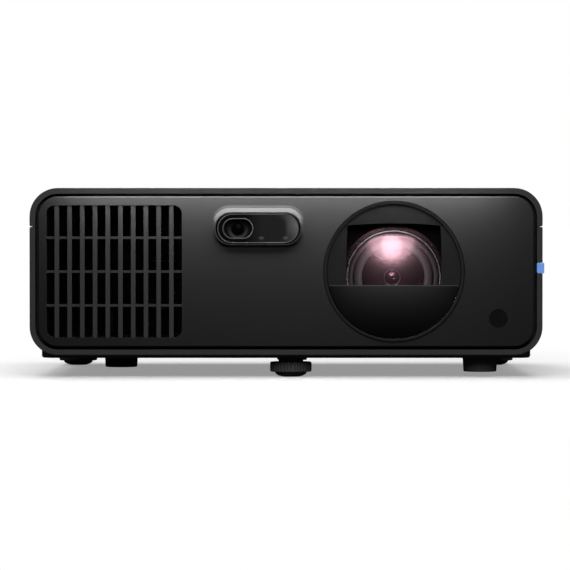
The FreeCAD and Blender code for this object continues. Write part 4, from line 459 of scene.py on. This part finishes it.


# Two satin baffle cones behind the front glass. The groove between them is painted dark, a painted shade,
# and the cones' tone falls to half towards their rims.
GROOVE_R = 24.0 * MM
INNER_CONE_R = 19.2 * MM
cone = Finish("cone_grey")
out_on_cone = from_lens_axis(cone)
groove_painted_shade = out_on_cone.hump(GROOVE_R, 0.7 * MM)
toward_rim = out_on_cone.ramp(INNER_CONE_R, 4.2 * MM)
machined = cone.noise(900.0, 2.0, 0.6)
shade = (1.0 - toward_rim * 0.5 + (machined - 0.5) * 0.15).clamped() * (1.0 - groove_painted_shade)
cone_grey = cone.surface(
    Base_Color=cone.tone(shade, (0.0005, 0.0005, 0.0005), (0.090, 0.085, 0.087)),
    Roughness=0.42 + (machined - 0.5) * 0.1,
    Specular_IOR_Level=0.15,
)
cone_y = glass_high.y + 0.2 * MM
outer_cone = [
    (27.4 * MM, cone_y + 1.6 * MM),
    (24.6 * MM, cone_y),
    (24.3 * MM, cone_y + 0.6 * MM),
    (24.3 * MM, cone_y + 4.5 * MM),
    (27.4 * MM, cone_y + 4.5 * MM),
]
turned_piece("outer_cone", outer_cone, AXIS, cone_grey, "housing")
inner_cone = [
    (23.4 * MM, cone_y + 3.6 * MM),
    (INNER_CONE_R, cone_y + 1.6 * MM),
    (18.9 * MM, cone_y + 2.2 * MM),
    (18.9 * MM, cone_y + 6.0 * MM),
    (24.3 * MM, cone_y + 6.0 * MM),
    (24.3 * MM, cone_y + 4.8 * MM),
    (23.4 * MM, cone_y + 4.8 * MM),
]
turned_piece("inner_cone", inner_cone, AXIS, cone_grey, "housing")

# Focus group: a coated element in the sliding cell, with a stop ring and a small, strongly
# curved element behind it.
element_low, element_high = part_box("focus_glass")
ELEMENT_R = (element_high.x - element_low.x) / 2
element_coat = coated_glass("element_coat", (0.9, 0.62, 0.72), (0.76, 0.70, 0.74), 0.012, 0.12)
element = np.concatenate((
    arc(ELEMENT_R, 2.0 * MM, element_low.y, 32),
    [[ELEMENT_R, element_high.y - 0.2 * MM]],
    arc(ELEMENT_R * 0.9, 0.6 * MM, element_high.y - 1.2 * MM, 12)[::-1],
))
focus_element = turned_piece("focus_element", element, AXIS, element_coat, "focus_cell")
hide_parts("focus_glass")

TURNING_PITCH = 1.1 * MM
STOP_LIP_R = 4.9 * MM
stop_violet = Finish("stop_violet")
out_on_stop = from_lens_axis(stop_violet)
turning = (out_on_stop * (2 * math.pi / TURNING_PITCH)).sine() * 0.5 + 0.5
# A light ring round the stop's inner lip, a painted highlight where its edge catches the light.
lip_painted_highlight = out_on_stop.hump(STOP_LIP_R, 0.35 * MM)
stop_finish = stop_violet.surface(
    Base_Color=stop_violet.tone(lip_painted_highlight, (0.050, 0.032, 0.040), (0.40, 0.30, 0.34)),
    Metallic=1.0,
    Roughness=0.33,
    Normal=stop_violet.bump(turning, 0.12 * MM),
)
stop_y = element_high.y + 0.3 * MM
stop_ring = [
    (4.4 * MM, stop_y + 1.0 * MM),
    (4.5 * MM, stop_y + 0.2 * MM),
    (5.0 * MM, stop_y),
    (18.0 * MM, stop_y + 0.4 * MM),
    (18.0 * MM, stop_y + 1.2 * MM),
    (4.5 * MM, stop_y + 1.4 * MM),
]
turned_piece("stop_ring", stop_ring, AXIS, stop_finish, "focus_cell")

SMALL_R = 4.3 * MM
small_coat = coated_glass("small_coat", (1.0, 0.62, 0.72), (0.30, 0.25, 0.36), 0.20, 0.20)
small = np.concatenate((
    arc(SMALL_R, 1.2 * MM, stop_y - 0.9 * MM, 16),
    arc(SMALL_R, 0.25 * MM, stop_y + 1.2 * MM, 8)[::-1],
))
turned_piece("small_element", small, AXIS, small_coat, "focus_cell")
dress(["zoom_glass"], element_coat)


# --- Lens surround ---------------------------------------------------------------------------
# A trim ring round the lens, a matt upper mask with the beam window in it, and a lower cover. The
# window's inside is painted near-black, a painted shade. The cover carries a painted sheen that falls off
# towards its lower and outer edge, and a painted highlight along its top edge. All three clip in from
# behind.
ring_satin = moulded("ring_satin", grey=0.019, rough=0.50, gloss=0.008, **PAINT)
dress(["lens_trim_ring"], ring_satin)

mask_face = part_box("lens_surround")[0].y
mask = Finish("mask_matt")
mask_grain = mask.grain(PAINT["grain"])
# Inside the window the mask's colour turns near-black, a painted shade for the opening.
window_painted_shade = mask.along("Y").ramp(mask_face + 0.5 * MM, 0.4 * MM)
window_shade_share = (window_painted_shade + mask_grain * 0.2).clamped()
dress(["lens_surround"], mask.surface(
    Base_Color=mask.tone(window_shade_share, (0.013, 0.013, 0.0135), (0.0004, 0.0004, 0.0004)),
    Roughness=0.5 + (mask_grain - 0.5) * 0.12,
    Specular_IOR_Level=0.02,
    Normal=mask.bump(mask_grain, PAINT["relief"]),
))

cover_low, cover_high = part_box("lens_lower_cover")
PAINTED_SHEEN_REACH = 37.0 * MM
lacquer = Finish("cover_painted_sheen")
lacquer_grain = lacquer.grain(PAINT["grain"])
# The coat is strongest at the top middle and falls off downwards and sideways: a painted sheen.
painted_sheen_rise = lacquer.along("Z").ramp(cover_low.z + 1.0 * MM, cover_high.z - cover_low.z)
painted_sheen_across = lacquer.along("X").hump(LENS_X, PAINTED_SHEEN_REACH)
# A light band along the top edge, a painted highlight.
crest_painted_highlight = lacquer.along("Z").ramp(cover_high.z - 0.7 * MM, 0.3 * MM)
crest_highlight_share = (crest_painted_highlight + lacquer_grain * 0.02).clamped()
dress(["lens_lower_cover"], lacquer.surface(
    Base_Color=lacquer.tone(crest_highlight_share, (0.0010, 0.0010, 0.0011), (0.045, 0.045, 0.046)),
    Roughness=0.5 + (lacquer_grain - 0.5) * 0.10,
    Specular_IOR_Level=0.02,
    Coat_Weight=(painted_sheen_rise * painted_sheen_across * 0.18 + (lacquer_grain - 0.5) * 0.02).clamped(),
    Coat_Roughness=0.5,
    Normal=lacquer.bump(lacquer_grain, PAINT["relief"]),
))


# --- Sensor window ---------------------------------------------------------------------------
# A smoked acrylic window pressed into the raised frame of the panel, over the camera and the
# distance sensor. A thin satin bead follows its edge and the rim of the camera opening.
def bead(name, centre, width, height, radius, material, count=160, sides=10):
    """Round bead that follows a stadium outline in the panel's plane.

    Point (i, j) is path_i plus the radius times (cos s_j n_i - sin s_j y), where path_i runs round
    the stadium in equal steps, n_i points out from it and s_j goes round the bead once.
    """
    end_r = height / 2
    straight = width - height
    half_turn = math.pi * end_r
    run = np.linspace(0.0, 2 * straight + 2 * half_turn, count, endpoint=False)
    second = run >= straight + half_turn
    step = np.where(second, run - straight - half_turn, run)
    flat = step < straight
    angle = np.where(flat, 0.0, (step - straight) / end_r)
    side = np.where(second, -1.0, 1.0)
    normal = np.stack((side * np.sin(angle), side * np.cos(angle)), axis=-1)
    across = side * np.where(flat, step - straight / 2, straight / 2)
    path = np.stack((across, np.zeros(count)), axis=-1) + end_r * normal
    turn = np.linspace(0.0, 2 * math.pi, sides, endpoint=False)[None, :]
    out = path[:, None, :] + radius * np.cos(turn)[..., None] * normal[:, None, :]
    depth = np.broadcast_to(-radius * np.sin(turn), out.shape[:2])
    points = np.stack((out[..., 0], depth, out[..., 1]), axis=-1) + np.array(centre)
    return piece(name, points, quads(count, sides, True, True), material, "housing")


def stadium_gap(finish, centre_x, centre_z, width, height):
    """Distance of a surface point from a stadium's middle line, in halves of the stadium's height."""
    past = ((finish.along("X") - centre_x).absolute() - (width - height) / 2).at_least(0.0)
    return span(past, finish.along("Z") - centre_z) / (height / 2)


window_low, window_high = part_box("sensor_window")
WINDOW_X = (window_low.x + window_high.x) / 2
WINDOW_Z = (window_low.z + window_high.z) / 2
BEAD_W = window_high.x - window_low.x - 2.8 * MM
BEAD_H = window_high.z - window_low.z - 1.6 * MM

# Light seen in the window is painted into its colour: a painted glow round the distance sensor's dark
# soft square, stronger towards its top and its far end, and two painted glints below its middle.
ranger_low, ranger_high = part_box("distance_sensor")
RANGER_X = (ranger_low.x + ranger_high.x) / 2
SQUARE_W = 7.4 * MM
SQUARE_H = 6.4 * MM
CORNER_X = 7.2 * MM
CORNER_Z = -5.6 * MM
smoked = Finish("smoked_window")
inside = ((1.0 - stadium_gap(smoked, WINDOW_X, WINDOW_Z, BEAD_W, BEAD_H)) / 0.02).clamped()
aside = smoked.along("X") - RANGER_X
above = smoked.along("Z") - WINDOW_Z
square = ((aside / SQUARE_W) ** 2) ** 2 + ((above / SQUARE_H) ** 2) ** 2
beside = square.ramp(0.5, 1.3)
near_start = aside.ramp(-17.0 * MM, 10.0 * MM)
near_end = aside.ramp(0.0, 15.0 * MM) ** 2
upper = 0.35 + above.ramp(-6.0 * MM, 8.0 * MM) * 0.65
corner_x = (aside.absolute() - CORNER_X) / (1.9 * MM)
corner_z = (above - CORNER_Z) / (1.2 * MM)
painted_corner_glints = (1.0 - corner_x ** 2 - corner_z ** 2).clamped()
painted_window_glow = (near_start * 0.08 + near_end * upper * beside * 0.85 + painted_corner_glints * 0.3) * inside
dress(["sensor_window"], smoked.surface(
    Base_Color=smoked.tone(painted_window_glow.clamped(), (0.002, 0.002, 0.0022), (0.185, 0.185, 0.19)),
    Roughness=0.12,
    Specular_IOR_Level=0.12,
))
gloss_black = moulded("gloss_black", grey=0.003, rough=0.16, grain=300.0, relief=0.001 * MM, gloss=0.25)
dress(["distance_sensor"], gloss_black)

# The camera is a black well. Its lower wall carries a painted glint, and its middle is painted darker
# than its rim, a painted shade.
camera_low, camera_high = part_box("sensor_camera")
CAMERA_X = (camera_low.x + camera_high.x) / 2
WELL_R = 5.2 * MM
WELL_FLOOR_R = 3.0 * MM
well = Finish("camera_black")
over_camera = well.along("Z") - WINDOW_Z
from_camera = span(well.along("X") - CAMERA_X, over_camera)
wall_painted_glint = from_camera.hump(WELL_R, 1.2 * MM) * (0.3 - over_camera / (5.0 * MM)).clamped() * 0.8
well_painted_light = (wall_painted_glint + from_camera.ramp(WELL_FLOOR_R, 1.0 * MM) * 0.12).clamped()
dress(["sensor_camera"], well.surface(
    Base_Color=well.tone(well_painted_light, (0.001, 0.001, 0.001), (0.05, 0.05, 0.052)),
    Roughness=0.3,
    Specular_IOR_Level=0.006,
))

bead_grey = moulded("bead_grey", grey=0.075, rough=0.7, gloss=0.02)
bead_y = window_low.y + 0.05 * MM
camera_size = (camera_high.x - camera_low.x, camera_high.z - camera_low.z)
bead("window_bead", (WINDOW_X, bead_y, WINDOW_Z), BEAD_W, BEAD_H, 0.30 * MM, bead_grey)
bead("camera_bead", (CAMERA_X, bead_y, WINDOW_Z), *camera_size, 0.32 * MM, bead_grey)


# --- Infrared windows and side tab -----------------------------------------------------------
# The infrared windows are polished discs of black dyed acrylic, pressed into the panels. The
# tab is a blue polycarbonate clip that wraps the right edge of the frame.
dress(["ir_windows"], gloss_black)
tab_blue = moulded("tab_blue", grey=0.38, rough=0.35, tint=(0.45, 0.98, 2.4), gloss=0.4)
dress(["side_tab"], tab_blue)


# --- Keypad ----------------------------------------------------------------------------------
# Keys of matt ABS over dome switches, in a shallow tray on top, with three clear lamp windows
# beside them. The symbols are pad-printed in grey.
tray_black = moulded("tray_black", grey=0.009, rough=0.8, gloss=0.012)
dress(["keypad_plate"], tray_black)
lamp_clear = moulded("lamp_clear", grey=0.35, rough=0.2)
dress(["indicator_lamps"], lamp_clear)
LINE = 0.24 * MM


def printed_key(name, lines, ring=None):
    """Key with a printed symbol: lines are pairs of (x, y) points, in millimetres from its middle.

    A point is inked where its distance to the nearest point of a line is under half the line's
    width. A ring is a radius and half the width of the opening at its top.
    """
    finish = Finish(name + "_print")
    low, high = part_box(name)
    x = finish.along("X") - (low.x + high.x) / 2
    y = finish.along("Y") - (low.y + high.y) / 2
    ink = x * 0.0  # none yet
    for start, end in lines:
        a = np.array(start) * MM
        d = np.array(end) * MM - a
        share = (((x - a[0]) * d[0] + (y - a[1]) * d[1]) / float(d @ d)).clamped()
        far = span(x - a[0] - share * d[0], y - a[1] - share * d[1])
        ink = ink.at_least(((1.5 * LINE - far) / LINE).clamped())
    if ring:
        radius, gap = ring
        far = (span(x, y) - radius * MM).absolute()
        opening = y.ramp(0.2 * MM, LINE) * ((gap * MM - x.absolute()) / LINE).clamped()
        ink = ink.at_least(((1.5 * LINE - far) / LINE).clamped() * (1.0 - opening))
    grain = finish.grain(RESIN["grain"])
    top = finish.along("Z").ramp(high.z - 0.1 * MM, 0.05 * MM)
    printed = (ink * top + grain * 0.02).clamped()
    dress([name], finish.surface(
        Base_Color=finish.tone(printed, (0.022, 0.022, 0.023), (0.42, 0.42, 0.43)),
        Roughness=0.7 + (grain - 0.5) * 0.12,
        Specular_IOR_Level=0.02,
        Normal=finish.bump(grain, RESIN["relief"]),
    ))


def strokes(*points):
    """Lines that join points one after another."""
    return list(zip(points[:-1], points[1:]))


CHEVRON = ((-1.5, -0.75), (0.0, 0.75), (1.5, -0.75))
ARROW_KEYS = {"key_up": (1, 0), "key_left": (0, 1), "key_down": (-1, 0), "key_right": (0, -1)}
for key, (cos, sin) in ARROW_KEYS.items():
    printed_key(key, strokes(*((cos * x - sin * y, sin * x + cos * y) for x, y in CHEVRON)))
printed_key("key_power", strokes((0.0, 0.4), (0.0, 2.6)), ring=(2.2, 0.9))
turns = np.linspace(0, 2 * math.pi, 13)
LETTER_O = strokes(*((-1.9 + 1.25 * math.cos(t), 1.7 * math.sin(t)) for t in turns))
LETTER_K = strokes((0.5, -1.7), (0.5, 1.7)) + strokes((2.7, 1.7), (0.6, -0.2))
LETTER_K += strokes((1.2, 0.4), (2.8, -1.7))
printed_key("key_ok", LETTER_O + LETTER_K)
INPUT_BOX = strokes((-0.6, 1.7), (2.6, 1.7), (2.6, -1.7), (-0.6, -1.7))
INPUT_ARROW = strokes((-2.8, 0.0), (0.9, 0.0)) + strokes((-0.3, 1.0), (0.9, 0.0), (-0.3, -1.0))
printed_key("key_source", INPUT_BOX + INPUT_ARROW)
RETURN_HOOK = strokes((-2.0, 0.9), (1.4, 0.9), (2.2, 0.1), (2.2, -0.5), (1.4, -1.3), (-0.8, -1.3))
RETURN_HEAD = strokes((-1.0, 1.8), (-2.0, 0.9), (-1.0, 0.0))
printed_key("key_back", RETURN_HOOK + RETURN_HEAD)


# --- Rear sockets ----------------------------------------------------------------------------
# Plated steel socket shells and black moulded jacks, soldered to the main board. Two hexagonal standoffs
# hold the serial socket's plug. A deep-drawn near-black cup closes the lock slot from inside and stands
# in for the shade within it.
dress(["signal_sockets", "serial_port"], steel_plate)
socket_black = moulded("socket_black", grey=0.012, rough=0.35)
dress(["audio_jacks", "mains_inlet"], socket_black)

port_low, port_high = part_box("serial_port")
port_z = (port_low.z + port_high.z) / 2
rear_y = rear_high.y
NUT_R = 2.3 * MM
NUT_BORE_R = 1.1 * MM
NUT_INSET = 2.9 * MM
nut = [
    (NUT_BORE_R, rear_y - 0.4 * MM),
    (NUT_R, rear_y - 0.4 * MM),
    (NUT_R, rear_y + 1.6 * MM),
    (NUT_R - 0.3 * MM, rear_y + 1.9 * MM),
    (NUT_BORE_R + 0.3 * MM, rear_y + 1.9 * MM),
    (NUT_BORE_R, rear_y + 1.6 * MM),
]
for label, x in (("standoff_left", port_low.x + NUT_INSET), ("standoff_right", port_high.x - NUT_INSET)):
    standoff = turned_piece(label, nut, (x, 0.0, port_z), steel_plate, "housing", steps=6, smooth=False)

LOCK_X = -0.13805  # the lock slot's middle
CUP_R = 4.6 * MM
CUP_WALL = 0.6 * MM
CUP_DEPTH = 7.0 * MM
cup_y = rear_low.y
cup = [
    (POLE_R, cup_y - CUP_DEPTH),
    (CUP_R, cup_y - CUP_DEPTH),
    (CUP_R, cup_y),
    (CUP_R - CUP_WALL, cup_y),
    (CUP_R - CUP_WALL, cup_y - CUP_DEPTH + CUP_WALL),
    (POLE_R, cup_y - CUP_DEPTH + CUP_WALL),
]
# The cup is near-black, a painted shade inside the lock slot.
lock_cup = turned_piece("lock_cup", cup, (LOCK_X, 0.0, port_z), shade_black, "housing", steps=48)


# --- Feet and inserts ------------------------------------------------------------------------
# Knurled wheels of black nylon on screwed stems, with soft pads pressed into them. Brass inserts
# for a ceiling mount are set into bosses under the bottom cover.
KNURL_DEPTH = 0.9 * MM
for wheel in (name for name in NODES if name.startswith("foot_wheel")):
    wheel_low, wheel_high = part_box(wheel)
    wheel_r = (wheel_high.x - wheel_low.x) / 2
    knurled = Finish(wheel + "_nylon")
    out_x = knurled.along("X") - (wheel_low.x + wheel_high.x) / 2
    out_y = knurled.along("Y") - (wheel_low.y + wheel_high.y) / 2
    # The knurl's grooves are painted near-black and its crests lighter, a painted shade and highlight,
    # with the nylon's grain over them.
    crown = span(out_x, out_y).ramp(wheel_r - KNURL_DEPTH, 0.8 * MM)
    nylon_grain = knurled.grain(ABS["grain"])
    knurl_shade_and_grain = (crown * 0.85 + nylon_grain * 0.2).clamped()
    dress([wheel], knurled.surface(
        Base_Color=knurled.tone(knurl_shade_and_grain, (0.003, 0.003, 0.003), (0.055, 0.055, 0.056)),
        Roughness=0.45 + (nylon_grain - 0.5) * 0.2,
        Specular_IOR_Level=0.3,
        Normal=knurled.bump(nylon_grain, ABS["relief"]),
    ))
pad_rubber = moulded("pad_rubber", grey=0.035, rough=0.75, grain=1500.0, relief=0.06 * MM)
dress([name for name in NODES if name.startswith("foot_pad")], pad_rubber)
brass = alloy("brass", (0.72, 0.53, 0.22), 0.3)
dress(["mount_inserts"], brass)


# --- Table -----------------------------------------------------------------------------------
# A matt pale table, lifted towards white by a little light of its own. Beyond an oval round the
# object it is plain white, so that it runs into the surround without an edge.
OVAL_X = 0.30
OVAL_Y = 0.26
FLOOR_HALF = 12.0
WHITE = (1.0, 1.0, 1.0, 1.0)
paper = Finish("paper")
away = span(paper.along("X") / OVAL_X, paper.along("Y") / OVAL_Y)
matt = paper.node("BsdfDiffuse", inputs={"Color": (0.80, 0.80, 0.80, 1.0)})
under = paper.node("BsdfDiffuse", inputs={"Color": (0.10, 0.10, 0.10, 1.0)})
lift = paper.node("Emission", inputs={"Color": WHITE, "Strength": 0.30})
white = paper.node("Emission", inputs={"Color": WHITE, "Strength": 1.0})
near = paper.node("AddShader", inputs={0: matt, 1: lift})
shown = paper.node("MixShader", inputs={0: away.ramp(1.0, 0.8), 1: near, 2: white})
by_camera = paper.node("LightPath", output="Is Camera Ray")
by_glass = paper.node("LightPath", output="Is Transmission Ray")
seen = (by_camera + by_glass).clamped()
paper_white = paper.output(paper.node("MixShader", inputs={0: seen, 1: under, 2: shown}))
corners = np.array([(-1, -1, 0), (1, -1, 0), (1, 1, 0), (-1, 1, 0)]) * FLOOR_HALF
floor_data = bpy.data.meshes.new("floor")
floor_data.from_pydata(corners.tolist(), [], [(0, 1, 2, 3)])
floor_data.materials.append(paper_white)
floor = bpy.data.objects.new("floor", floor_data)
bpy.context.scene.collection.objects.link(floor)


# --- Light -----------------------------------------------------------------------------------
# A dim white surround and three softboxes, overhead, in front and behind, light the body evenly.
# A strip close above the front, for the panel's sheen, and two oval lamps in front of the lens
# show in reflections only, and the front box in none.
world = bpy.data.worlds.new("studio")
bpy.context.scene.world = world
sky = Finish("sky", world)
sky_seen = sky.node("LightPath", output="Is Camera Ray")
sky_dim = sky.node("Background", inputs={"Color": WHITE, "Strength": 0.12})
sky_white = sky.node("Background", inputs={"Color": WHITE, "Strength": 1.0})
sky.output(sky.node("MixShader", inputs={0: sky_seen, 1: sky_dim, 2: sky_white}), "OutputWorld")


def lamp(name, place, target, watts, size, shape="RECTANGLE", lights=True, shines=True):
    """Lamp at a place that faces a target, width and height in size, not seen by the camera.

    One that lights matt surfaces has lights, and one that shows in reflections has shines.
    """
    light = bpy.data.lights.new(name, "AREA")
    light.energy = watts
    light.shape = shape
    light.size, light.size_y = size
    holder = bpy.data.objects.new(name, light)
    holder.location = place
    holder.rotation_euler = (Vector(target) - Vector(place)).to_track_quat("-Z", "Y").to_euler()
    holder.visible_camera = False
    holder.visible_diffuse = lights
    holder.visible_glossy = shines
    bpy.context.scene.collection.objects.link(holder)


lamp("top_box", (0.0, 0.05, 1.0), (0.0, 0.05, 0.0), 4.5, (0.75, 0.55))
lamp("front_box", (0.0, -1.15, 0.62), (0.0, -0.12, 0.07), 10.5, (0.8, 0.5), shines=False)
lamp("rear_box", (-0.45, 1.25, 0.75), (0.0, 0.1, 0.06), 9.0, (0.8, 0.5))
lamp("sheen_strip", (-0.002, -0.136, 0.129), (-0.002, -0.122, 0.109), 3.15, (0.260, 0.02), lights=False)
DOME_AT = (LENS_X, -0.11, LENS_Z)
lamp("dome_box", (LENS_X, -0.630, 0.376), DOME_AT, 2.2, (0.21, 0.26), "ELLIPSE", lights=False)
lamp("dome_halo", (LENS_X, -0.590, 0.430), DOME_AT, 5.0, (0.48, 0.50), "ELLIPSE", lights=False)


# --- Camera ----------------------------------------------------------------------------------
# Level with the upper half of the object, 1.8 m in front of the panel, and tilted down by less
# than a degree. FIELD is the width at the panel that the view takes in.
VIEW_DISTANCE = 1.800
EYE_HEIGHT = 0.0761
FIELD = 0.340518
SIDE_SHIFT = -0.6392 * MM
TILT = math.radians(0.65)
camera = bpy.data.cameras.new("camera")
camera.sensor_width = 36.0
camera.lens = camera.sensor_width * VIEW_DISTANCE / FIELD
camera.shift_x = SIDE_SHIFT / FIELD
camera.clip_start, camera.clip_end = 0.05, 50.0
eye = bpy.data.objects.new("camera", camera)
eye.location = (0.0, slat_front - 0.6 * MM - VIEW_DISTANCE, EYE_HEIGHT)
eye.rotation_euler = (math.pi / 2 - TILT, 0, 0)
bpy.context.scene.collection.objects.link(eye)
bpy.context.scene.camera = eye
bpy.context.scene.view_settings.view_transform = "Standard"
